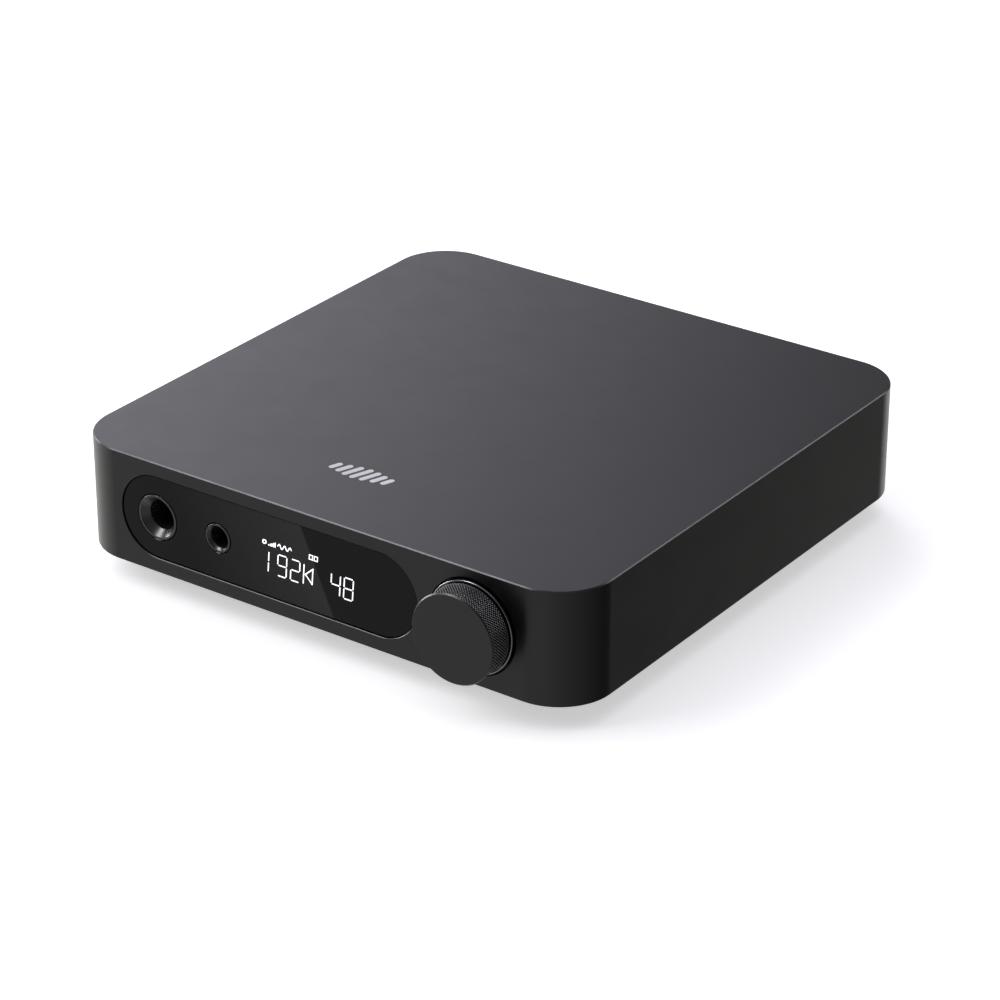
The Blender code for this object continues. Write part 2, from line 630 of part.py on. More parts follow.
def build_knob():
    """Volume knob, keyed insert and shaft: they press in together and turn the rotor."""
    axis = bpy.data.objects.new("knob_axis", None)
    axis.location = (KNOB_X, FRONT_Y, AXIS_Z)
    axis.rotation_euler = TO_FRONT
    PARTS.objects.link(axis)

    face = HALF_LENGTH - HALF_Y
    profile = [
        (0.0, face),
        (KNOB_FACE, face),
        (KNOB_RADIUS, face - 0.3 * MM),
        (KNOB_RADIUS, KNOB_RING_TOP),
        (KNOB_RING, KNOB_RING_TOP),
        (KNOB_RING, -KNOB_SKIRT),
        (KNOB_HOLLOW, -KNOB_SKIRT),
        (KNOB_HOLLOW, face - KNOB_CROWN),
        (0.0, face - KNOB_CROWN),
    ]
    knob = turned("volume_knob", profile, "knob_anodised", steps=48)
    knob.parent = axis

    insert_low = 0.45 * MM
    insert_high = face - KNOB_CROWN - GAP
    bore = SHAFT_RADIUS + 0.15 * MM
    insert_ring = [(6.9 * MM, insert_high), (6.9 * MM, insert_high - 1.2 * MM),
                   (4.6 * MM, insert_high - 1.2 * MM), (4.6 * MM, insert_low),
                   (bore, insert_low), (bore, insert_high)]
    insert = turned("knob_insert", insert_ring, "grey_plastic", steps=24)
    insert.parent = axis

    shaft_high = insert_high - 0.2 * MM
    shaft_low = -8.85 * MM
    shaft_profile = [(0.0, shaft_high), (SHAFT_RADIUS - 0.3 * MM, shaft_high),
                     (SHAFT_RADIUS, shaft_high - 0.3 * MM), (SHAFT_RADIUS, shaft_low),
                     (0.0, shaft_low)]
    shaft = turned("encoder_shaft", shaft_profile, "steel", steps=24)
    flat_depth = 4.0 * MM
    cut(shaft, block("shaft_flat_cutter",
                     (KNOB_X - 4.0 * MM, FRONT_Y - shaft_high - 1.0 * MM, AXIS_Z + 1.6 * MM),
                     (KNOB_X + 4.0 * MM, FRONT_Y - shaft_high + flat_depth, AXIS_Z + 4.0 * MM)))
    shaft.parent = axis


def build_encoder():
    """Encoder body with its threaded bushing, nut, rotor and push-switch dome."""
    wall = -WALL
    front = wall - GAP
    back = -(HALF_Y + front_board_face()) + GAP
    half_x = 6.0 * MM
    half_z = 6.2 * MM
    housing = block("encoder_housing", (KNOB_X - half_x, FRONT_Y - front, AXIS_Z - half_z),
                    (KNOB_X + half_x, FRONT_Y - back, AXIS_Z + half_z), "grey_plastic")
    bushing_end = -0.3 * MM
    join(housing, drums("bushing_tool", [(KNOB_X, AXIS_Z)], BUSHING_RADIUS,
                        FRONT_Y - bushing_end, FRONT_Y - front + 1.0 * MM, axis=1, sides=24))
    chamber_front = front - 0.8 * MM
    chamber_back = back + 0.9 * MM
    bore = SHAFT_RADIUS + 0.12 * MM
    chamber = [(0.0, 1.0 * MM), (bore, 1.0 * MM), (bore, chamber_front), (5.4 * MM, chamber_front),
               (5.4 * MM, chamber_back), (0.0, chamber_back)]
    cut(housing, turned("chamber_cutter", chamber, None, (KNOB_X, FRONT_Y, AXIS_Z), TO_FRONT,
                        steps=24))

    place = (KNOB_X, FRONT_Y, AXIS_Z)
    rotor_front = chamber_front - GAP
    rotor_ring = [(5.0 * MM, rotor_front), (5.0 * MM, rotor_front - 1.6 * MM),
                  (bore, rotor_front - 1.6 * MM), (bore, rotor_front)]
    turned("encoder_rotor", rotor_ring, "black_plastic", place, TO_FRONT, steps=24)

    dome_floor = chamber_back + GAP
    dome_ring = [(0.0, dome_floor + 0.5 * MM), (1.6 * MM, dome_floor + 0.4 * MM),
                 (2.6 * MM, dome_floor), (2.3 * MM, dome_floor), (1.5 * MM, dome_floor + 0.2 * MM),
                 (0.0, dome_floor + 0.3 * MM)]
    turned("switch_dome", dome_ring, "steel", place, TO_FRONT, steps=16)

    nut_low = -RECESS_DEPTH + GAP
    nut_high = nut_low + 1.5 * MM
    nut = drums("encoder_nut", [(KNOB_X, AXIS_Z)], 5.6 * MM, FRONT_Y - nut_high,
                FRONT_Y - nut_low, "steel", axis=1, sides=6)
    cut(nut, drums("nut_cutter", [(KNOB_X, AXIS_Z)], BUSHING_RADIUS + 0.15 * MM,
                   FRONT_Y - nut_high - 1.0 * MM, FRONT_Y - nut_low + 1.0 * MM, axis=1, sides=24))


# ---------------------------------------------------------------- boards and components

def build_main_board():
    """Main board, notched round the corner bosses and drilled for its screws."""
    low = BOARD_TOP - BOARD_THICK
    board = block("main_board", (-60.5 * MM, -61.0 * MM, low), (60.5 * MM, 60.5 * MM, BOARD_TOP),
                  "green_board")
    corners = [(x, y) for x in (-BOSS_X, BOSS_X) for y in (-BOSS_Y, BOSS_Y)]
    cut(board, drums("notch_cutter", corners, BOSS_RADIUS + 0.8 * MM, low - 1.0 * MM,
                     BOARD_TOP + 1.0 * MM, sides=24))
    standoffs = [(x * MM, y * MM) for x, y in STANDOFFS]
    cut(board, drums("board_hole_cutter", standoffs, 1.4 * MM, low - 1.0 * MM,
                     BOARD_TOP + 1.0 * MM, sides=12))
    return board


def on_board(name, x, y, size, finish, lift=0.0, rim=0.0):
    """A boxed component centred at x, y, with its foot on the main board."""
    foot = BOARD_SEAT + lift
    low = (x * MM - size[0] * MM / 2, y * MM - size[1] * MM / 2, foot)
    high = (x * MM + size[0] * MM / 2, y * MM + size[1] * MM / 2, foot + size[2] * MM)
    return block(name, low, high, finish, rim=rim)


def build_ladder_board():
    """Daughterboard with rows of resistors that weigh the bits of each channel."""
    board = on_board("ladder_board", 30.0, 2.0, (46.0, 34.0, 1.6), "black_board", lift=3.4 * MM)
    top = BOARD_SEAT + 3.4 * MM + 1.6 * MM
    rows = 4
    columns = 9
    bm = bmesh.new()
    for row in range(rows):
        for column in range(columns):
            x = (30.0 + (column - (columns - 1) / 2) * 4.6) * MM
            y = (2.0 + (row - (rows - 1) / 2) * 7.6) * MM
            move = Matrix.Translation((x, y, top))
            grow = Matrix.Diagonal((3.2 * MM, 1.6 * MM, 1.2 * MM, 1.0))
            bmesh.ops.create_cube(bm, size=1.0, matrix=move @ grow)
    chips = add_object("resistor_tool", mesh_from("resistor_tool", bm, smooth=False), None)
    return join(board, chips)


def build_components():
    """Parts soldered to the main board."""
    build_ladder_board()
    on_board("board_header", 30.0, 12.0, (30.0, 2.5, 2.8), "black_plastic")
    on_board("usb_chip", -19.0, 40.0, (8.0, 8.0, 1.0), "chip")
    on_board("logic_chip", -8.0, 14.0, (14.0, 14.0, 1.2), "chip")
    on_board("clock_oscillator", -8.0, 30.0, (5.0, 3.2, 1.3), "steel")
    on_board("amp_chip_left", -34.0, -22.0, (5.0, 6.2, 1.6), "chip")
    on_board("amp_chip_right", -22.0, -22.0, (5.0, 6.2, 1.6), "chip")
    on_board("output_relay", 32.0, 36.0, (15.0, 7.5, 8.4), "black_plastic", rim=0.4 * MM)
    on_board("power_inductor", -36.0, 36.0, (10.0, 10.0, 5.0), "chip", rim=0.6 * MM)
    can_height = 10.5 * MM
    radius = 4.0 * MM
    can = [(0.0, can_height), (radius - 0.5 * MM, can_height), (radius, can_height - 0.5 * MM),
           (radius, 1.6 * MM), (radius - 0.3 * MM, 1.3 * MM), (radius, 1.0 * MM), (radius, 0.0),
           (0.0, 0.0)]
    first = freeze(turned("filter_capacitor_1", can, "aluminium_can", steps=20))
    first.location = (-40.0 * MM, -2.0 * MM, BOARD_SEAT)
    add_object("filter_capacitor_2", first.data, "aluminium_can", (-28.0 * MM, -2.0 * MM, BOARD_SEAT))


# ---------------------------------------------------------------- back

def build_rca_sockets():
    """Phono sockets: a housing on the board, and a metal collar and a coloured core in each."""
    depth = 11.5 * MM
    top = RCA_Z + 6.5 * MM
    spans = {"line_out_housing": (19.3 * MM, 46.7 * MM), "coax_housing": (4.5 * MM, 17.5 * MM)}
    for name, (low_x, high_x) in spans.items():
        housing = block(name, (low_x, HOUSING_FRONT - depth, BOARD_SEAT),
                        (high_x, HOUSING_FRONT, top), "black_plastic")
        inside = [(x, RCA_Z) for x in RCA_PLACES.values() if low_x < x < high_x]
        cut(housing, drums(name + "_cutter", inside, 3.5 * MM, HOUSING_FRONT - 6.0 * MM,
                           HOUSING_FRONT + 1.0 * MM, axis=1, sides=24))
    collar_end = HALF_LENGTH - HOUSING_FRONT
    collar = [(RCA_RADIUS - 0.25 * MM, collar_end), (RCA_RADIUS, collar_end - 0.25 * MM),
              (RCA_RADIUS, GAP), (RCA_BORE, GAP), (RCA_BORE, collar_end)]
    core_end = collar_end - 0.8 * MM
    core = [(RCA_CORE, core_end), (RCA_CORE, -RCA_CORE_FOOT), (RCA_CORE_BORE, -RCA_CORE_FOOT),
            (RCA_CORE_BORE, core_end)]
    names = {"rca_right": "red_core", "rca_left": "white_core", "coax": "orange_core"}
    for name, finish in names.items():
        place = (RCA_PLACES[name], HOUSING_FRONT, RCA_Z)
        turned(name + "_shell", collar, "gold", place, TO_BACK, steps=28)
        turned(name + "_core", core, finish, place, TO_BACK, steps=20)


def build_optical_socket():
    """Optical socket: a box with a square mouth, closed by a sprung flap hinged at its top."""
    half_x = OPTICAL_SIZE[0] / 2
    half_z = OPTICAL_SIZE[2] / 2
    back = OPTICAL_FRONT - OPTICAL_SIZE[1]
    housing = block("optical_housing", (OPTICAL_X - half_x, back, OPTICAL_Z - half_z),
                    (OPTICAL_X + half_x, OPTICAL_FRONT, OPTICAL_Z + half_z), "black_plastic")
    mouth = OPTICAL_MOUTH / 2
    cut(housing, block("optical_cutter",
                       (OPTICAL_X - mouth, OPTICAL_FRONT - 11.5 * MM, OPTICAL_Z - mouth),
                       (OPTICAL_X + mouth, OPTICAL_FRONT + 1.0 * MM, OPTICAL_Z + mouth)))
    hinge = (OPTICAL_X, OPTICAL_FRONT - 1.2 * MM, OPTICAL_Z + mouth - 0.75 * MM)
    shutter = block("optical_shutter",
                    (OPTICAL_X - mouth + 0.3 * MM, hinge[1] - 0.4 * MM, OPTICAL_Z - mouth + 0.5 * MM),
                    (OPTICAL_X + mouth - 0.3 * MM, hinge[1] + 0.4 * MM, hinge[2] + 0.4 * MM),
                    "grey_plastic")
    shift = Vector(hinge) - shutter.location
    shutter.data.transform(Matrix.Translation(-shift))
    shutter.location = hinge


def build_power_and_data():
    """USB-C port and the low-voltage power jack."""
    width, height, length = USB_SIZE
    place = (USB_X, PANEL_OUTER - length / 2, USB_Z)
    shell = flat("usb_c_shell", stadium(width, height, steps=6), length, "steel", place, TO_FRONT)
    inner = stadium(width - 0.7 * MM, height - 0.7 * MM, steps=6)
    cut(shell, flat("usb_cutter", inner, length, None,
                    (USB_X, place[1] + 0.8 * MM, USB_Z), TO_FRONT))
    tongue_back = PANEL_OUTER - length + 1.1 * MM
    block("usb_c_tongue", (USB_X - 3.35 * MM, tongue_back, USB_Z - 0.35 * MM),
          (USB_X + 3.35 * MM, PANEL_OUTER - 0.8 * MM, USB_Z + 0.35 * MM), "black_plastic")

    half_x = 4.5 * MM
    back = HOUSING_FRONT - 11.5 * MM
    housing = block("dc_jack_housing", (DC_X - half_x, back, BOARD_SEAT),
                    (DC_X + half_x, HOUSING_FRONT, DC_Z + 5.2 * MM), "black_plastic")
    join(housing, drums("dc_nose_tool", [(DC_X, DC_Z)], DC_NOSE, HOUSING_FRONT - 1.0 * MM,
                        PANEL_OUTER, axis=1, sides=24))
    floor_y = PANEL_OUTER - 9.5 * MM
    cut(housing, drums("dc_bore_cutter", [(DC_X, DC_Z)], DC_BORE, floor_y, PANEL_OUTER + 1.0 * MM,
                       axis=1, sides=20))
    pin = [(0.0, 7.6 * MM), (0.7 * MM, 7.6 * MM), (1.0 * MM, 7.2 * MM), (1.0 * MM, 0.0),
           (0.0, 0.0)]
    turned("dc_jack_pin", pin, "steel", (DC_X, floor_y + GAP, DC_Z), TO_BACK, steps=16)


def main():
    """Build every piece."""
    build_body_shell()
    build_bottom_cover()
    build_rear_panel()
    build_front_window()
    build_feet()
    build_screws()
    build_display()
    build_jacks()
    build_front_board()
    build_knob()
    build_encoder()
    build_main_board()
    build_components()
    build_rca_sockets()
    build_optical_socket()
    build_power_and_data()


main()
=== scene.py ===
"""Looks of a desktop digital-to-analogue converter with a headphone amplifier.

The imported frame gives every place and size. Each sub-assembly is a class that makes its fine
surfaces with numpy, lets them ride on the frame's bodies and dresses them in node materials.
"""

import json
import logging
import math
from dataclasses import dataclass, field
from enum import Enum
from typing import Iterable, Sequence

import bmesh
import bpy
import numpy as np
from mathutils import Euler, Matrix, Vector

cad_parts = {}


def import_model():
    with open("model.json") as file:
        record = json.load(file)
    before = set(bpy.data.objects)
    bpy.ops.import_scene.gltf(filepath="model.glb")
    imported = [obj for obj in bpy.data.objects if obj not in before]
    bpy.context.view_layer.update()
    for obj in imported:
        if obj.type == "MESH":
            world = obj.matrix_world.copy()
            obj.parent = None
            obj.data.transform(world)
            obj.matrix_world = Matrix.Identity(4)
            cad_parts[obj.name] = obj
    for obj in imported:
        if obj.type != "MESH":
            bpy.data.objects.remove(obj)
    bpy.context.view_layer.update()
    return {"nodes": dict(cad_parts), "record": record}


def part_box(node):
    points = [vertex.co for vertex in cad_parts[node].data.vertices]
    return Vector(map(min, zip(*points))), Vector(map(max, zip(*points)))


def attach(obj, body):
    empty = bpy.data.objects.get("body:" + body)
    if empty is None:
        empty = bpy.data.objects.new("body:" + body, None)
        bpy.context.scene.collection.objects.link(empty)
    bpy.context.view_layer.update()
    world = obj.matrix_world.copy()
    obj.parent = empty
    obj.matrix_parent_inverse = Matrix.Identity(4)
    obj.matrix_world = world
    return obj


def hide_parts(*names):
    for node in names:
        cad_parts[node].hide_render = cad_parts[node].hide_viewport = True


LOG = logging.getLogger("desktop_dac")
MM = 0.001
Levels = Sequence[tuple[float, float]]


class Facing(Enum):
    """Which way a flat outline looks: its own third axis in the frame."""

    UP = "up"
    FRONT = "front"
    BACK = "back"

    def place(self, u: np.ndarray, v: np.ndarray, w: np.ndarray) -> np.ndarray:
        """Turn outline coordinates into frame coordinates.

        Args:
            u: distances to the right, seen from the front.
            v: distances up the outline.
            w: distances out of the outline's plane.

        Returns:
            Points, with x, y and z along the last axis.
        """
        if self is Facing.UP:
            return np.stack((u, v, w), axis=-1)
        sign = -1.0 if self is Facing.FRONT else 1.0
        return np.stack((u, sign * w, v), axis=-1)


class Carve(Enum):
    """How a tool acts on a piece."""

    CUT = "DIFFERENCE"
    ADD = "UNION"


# ------------------------------------------------------------------ outlines and surfaces

def rounded_rectangle(half_u: float, half_v: float, radius: float, steps: int = 24) -> np.ndarray:
    """Outline of a rectangle with round corners.

    Four quarter circles, each centred a radius in from its corner, joined by straight runs.

    Args:
        half_u: half the width.
        half_v: half the height.
        radius: corner radius.
        steps: segments in each quarter circle.

    Returns:
        Points in order round the outline, one row each.
    """
    quarter = np.linspace(0.0, math.pi / 2, steps + 1)
    angles = (quarter[None, :] + np.arange(4)[:, None] * math.pi / 2).ravel()
    middles = np.repeat(np.array([[1, 1], [-1, 1], [-1, -1], [1, -1]], float), steps + 1, axis=0)
    reach = np.array([half_u - radius, half_v - radius])
    return middles * reach + radius * np.stack((np.cos(angles), np.sin(angles)), axis=1)


def stadium(half_length: float, half_height: float, steps: int = 48) -> np.ndarray:
    """Outline of a pill: a half circle at each end of two straight sides.

    Args:
        half_length: half the pill's length, round ends included.
        half_height: half its height.
        steps: segments in each half circle.

    Returns:
        Points in order round the outline.
    """
    angles = np.linspace(-math.pi / 2, math.pi / 2, steps + 1)
    arc = half_height * np.stack((np.cos(angles), np.sin(angles)), axis=1)
    reach = np.array([half_length - half_height, 0.0])
    return np.concatenate((arc + reach, -arc - reach))


def circle(radius: float, steps: int = 64) -> np.ndarray:
    """Outline of a circle, as evenly spaced points."""
    angles = np.linspace(0.0, 2 * math.pi, steps, endpoint=False)
    return radius * np.stack((np.cos(angles), np.sin(angles)), axis=1)


def stroke(start: Sequence[float], end: Sequence[float], width: float, steps: int = 6) -> np.ndarray:
    """Outline of a short bar with round ends, from start to end.

    Args:
        start: the middle of one round end.
        end: the middle of the other.
        width: the bar's width.
        steps: segments in each half circle.

    Returns:
        Points in order round the outline.
    """
    first, last = np.array(start, float), np.array(end, float)
    run = last - first
    heading = math.atan2(run[1], run[0])
    angles = np.linspace(-math.pi / 2, math.pi / 2, steps + 1) + heading
    arc = width / 2 * np.stack((np.cos(angles), np.sin(angles)), axis=1)
    return np.concatenate((last + arc, first - arc))


def outward(outline: np.ndarray) -> np.ndarray:
    """Unit normals of a closed outline: each point's run to its neighbours, turned by 90 degrees.

    Doubled points, where an arc meets an arc, take the direction of the wider run round them.

    Args:
        outline: points in order round the outline.

    Returns:
        One unit normal for each point.
    """
    run = np.roll(outline, -1, axis=0) - np.roll(outline, 1, axis=0)
    normal = np.stack((run[:, 1], -run[:, 0]), axis=1)
    return normal / np.maximum(np.linalg.norm(normal, axis=1, keepdims=True), 1e-12)


def arc_normals(outline: np.ndarray, steps: int) -> np.ndarray:
    """Normals of an outline made only of arcs of steps segments: the radial direction of each arc.

    The straight runs between the arcs start and end on the arcs' own end normals, so an offset
    outline keeps its straight sides parallel.

    Args:
        outline: points in order round the outline.
        steps: segments in each arc.

    Returns:
        One unit normal for each point.
    """
    arcs = outline.reshape(-1, steps + 1, 2)
    chord = arcs[:, -1] - arcs[:, 0]
    turn = 2 * math.pi / len(arcs)
    spread = np.linalg.norm(chord, axis=1)
    radius = spread / (2 * math.sin(turn / 2))
    middle = (arcs[:, 0] + arcs[:, -1]) / 2
    side = np.stack((-chord[:, 1], chord[:, 0]), axis=1) / spread[:, None]
    centre = middle + side * (radius * math.cos(turn / 2))[:, None]
    normal = arcs - centre[:, None]
    return (normal / np.linalg.norm(normal, axis=2, keepdims=True)).reshape(-1, 2)


def mesh_of(name: str, rings: np.ndarray, closed: bool = False) -> bpy.types.Mesh:
    """Make a mesh from rings of points: neighbours along and across the grid make a quad.

    Args:
        name: the mesh's name.
        rings: rows of rings, shaped (rings, points, 3).
        closed: True joins the last ring to the first; False caps both ends.

    Returns:
        A closed mesh whose faces look outwards.
    """
    rows, columns = rings.shape[:2]
    index = np.arange(rows * columns).reshape(rows, columns)
    follow = index if closed else index[:-1]
    beyond = np.roll(index, -1, axis=0) if closed else index[1:]
    quads = np.stack((follow, np.roll(follow, -1, axis=1), np.roll(beyond, -1, axis=1), beyond),
                     axis=-1).reshape(-1, 4)
    faces = quads.tolist()
    if not closed:
        faces += [index[0][::-1].tolist(), index[-1].tolist()]
    mesh = bpy.data.meshes.new(name)
    mesh.from_pydata(rings.reshape(-1, 3).tolist(), [], faces)
    tidy(mesh)
    return mesh


def tidy(mesh: bpy.types.Mesh) -> None:
    """Weld doubled points, drop the faces that they leave empty, and turn faces outwards.

    Args:
        mesh: the mesh to change.
    """
    work = bmesh.new()
    work.from_mesh(mesh)
    bmesh.ops.remove_doubles(work, verts=work.verts, dist=0.0005 * MM)
    bmesh.ops.dissolve_degenerate(work, edges=work.edges, dist=0.0001 * MM)
    bmesh.ops.recalc_face_normals(work, faces=work.faces)
    work.to_mesh(mesh)
    work.free()


def offset_loft(name: str, outline: np.ndarray, levels: Levels, facing: Facing,
                centre: Sequence[float] = (0.0, 0.0), normals: np.ndarray | None = None
                ) -> bpy.types.Object:
    """A solid whose section is one outline, grown or shrunk from level to level.

    Each ring is the outline moved along its own normals by that level's offset, at that level's
    height along the facing.

    Args:
        name: the piece's name.
        outline: points round the section.
        levels: (offset, height) of each ring in turn.
        facing: which way the heights run.
        centre: where the outline's own origin lies, across the facing.
        normals: the outline's normals, where the simple ones don't do.

    Returns:
        The new object, linked to the scene.
    """
    step = np.array(levels, float)
    across = outward(outline) if normals is None else normals
    flat = outline[None] + across[None] * step[:, 0, None, None] + np.array(centre)
    height = np.broadcast_to(step[:, 1, None], flat.shape[:2])
    return link(name, mesh_of(name, facing.place(flat[..., 0], flat[..., 1], height)))


def prism(name: str, outline: np.ndarray, low: float, high: float, facing: Facing,
          centre: Sequence[float] = (0.0, 0.0)) -> bpy.types.Object:
    """A straight solid: one outline from a low height to a high one along the facing."""
    return offset_loft(name, outline, ((0.0, low), (0.0, high)), facing, centre)


def revolve(name: str, profile: Levels, facing: Facing, centre: Sequence[float],
            steps: int = 96) -> bpy.types.Object:
    """A turned solid: every profile point swept round a circle about the facing's own axis.

    A profile that starts and ends on the axis is solid; any other closes on itself, and has a
    bore right through.

    Args:
        name: the piece's name.
        profile: (radius, height) of each ring in turn.
        facing: which way the axis runs.
        centre: where the axis crosses the plane across it.
        steps: points round each ring.

    Returns:
        The new object, linked to the scene.
    """
    ring = circle(1.0, steps)
    step = np.array(profile, float)
    flat = ring[None] * step[:, 0, None, None] + np.array(centre)
    height = np.broadcast_to(step[:, 1, None], flat.shape[:2])
    points = facing.place(flat[..., 0], flat[..., 1], height)
    return link(name, mesh_of(name, points, closed=step[0, 0] > 0.0))


def fillet(offset: float, height: float, radius: float, up: bool, steps: int = 5
           ) -> list[tuple[float, float]]:
    """Levels of a quarter-round edge.

    Args:
        offset: the wall's offset, which the round leaves or reaches.
        height: the height of the face that the round meets.
        radius: radius of the round.
        up: True for the edge of the far face, False for the near one.
        steps: segments in the round.

    Returns:
        (offset, height) levels, in the order from the near face to the far one.
    """
    angles = np.linspace(0.0, math.pi / 2, steps + 1)
    if up:
        return [(offset - radius * (1 - math.cos(a)), height - radius * (1 - math.sin(a)))
                for a in angles]
    return [(offset - radius * (1 - math.cos(a)), height + radius * (1 - math.sin(a)))
            for a in angles[::-1]]


def slab_levels(low: float, high: float, edge: float, steps: int = 4) -> list[tuple[float, float]]:
    """Levels of a flat plate with both its rims rounded."""
    return fillet(0.0, low, edge, False, steps) + fillet(0.0, high, edge, True, steps)


def link(name: str, mesh: bpy.types.Mesh) -> bpy.types.Object:
    """Add a mesh to the scene as an object at the origin.

    Args:
        name: the object's name.
        mesh: its mesh.

    Returns:
        The new object.
    """
    piece = bpy.data.objects.new(name, mesh)
    bpy.context.scene.collection.objects.link(piece)
    return piece


def carve(piece: bpy.types.Object, tools: Iterable[bpy.types.Object], how: Carve = Carve.CUT
          ) -> bpy.types.Object:
    """Cut tools out of a piece, or join them to it, and keep the result as its mesh.

    Args:
        piece: the object to change.
        tools: solids that are used up.
        how: whether the tools' volumes are taken away or added.

    Returns:
        The same piece.
    """
    used = list(tools)
    for tool in used:
        modifier = piece.modifiers.new(tool.name, "BOOLEAN")
        modifier.operation = how.value
        modifier.solver = "EXACT"
        modifier.object = tool
    graph = bpy.context.evaluated_depsgraph_get()
    mesh = bpy.data.meshes.new_from_object(piece.evaluated_get(graph))
    piece.modifiers.clear()
    piece.data = mesh
    mesh.name = piece.name
    for tool in used:
        bpy.data.objects.remove(tool, do_unlink=True)
    tidy(mesh)
    return piece


def merged(name: str, parts: Sequence[bpy.types.Object]) -> bpy.types.Object:
    """Gather separate closed solids, such as the bars of a numeral, into one piece.

    Args:
        name: the new piece's name.
        parts: the solids, which are used up.

    Returns:
        The new piece.
    """
    work = bmesh.new()
    for part in parts:
        work.from_mesh(part.data)
        bpy.data.objects.remove(part, do_unlink=True)
    mesh = bpy.data.meshes.new(name)
    work.to_mesh(mesh)
    work.free()
    return link(name, mesh)


def shade(piece: bpy.types.Object, angle: float = 28.0) -> None:
    """Shade a piece smooth up to an angle, with its large faces setting the normals.

    Args:
        piece: the object to shade.
        angle: largest angle that is shaded smooth, in degrees.
    """
    piece.data.shade_smooth()
    piece.data.set_sharp_from_angle(angle=math.radians(angle))
    weigh = piece.modifiers.new("face_weights", "WEIGHTED_NORMAL")
    weigh.keep_sharp = True
    weigh.weight = 100


def settle(piece: bpy.types.Object, body: str, finish: "Finish",
           nodes: Sequence[str] = (), angle: float = 28.0) -> bpy.types.Object:
    """Shade a finished piece, dress it, and let it ride on its body.

    Args:
        piece: the finished object.
        body: the frame body that it rides on.
        finish: what it is made of.
        nodes: the frame's own nodes that the piece stands for.
        angle: largest angle that is shaded smooth, in degrees.

    Returns:
        The same piece.
    """
    shade(piece, angle)
    piece.data.materials.clear()
    piece.data.materials.append(finish.material())
    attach(piece, body)
    if nodes:
        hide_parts(*nodes)
    LOG.info("%s: %d faces, rides on %s", piece.name, len(piece.data.polygons), body)
    return piece


# ------------------------------------------------------------------ finishes

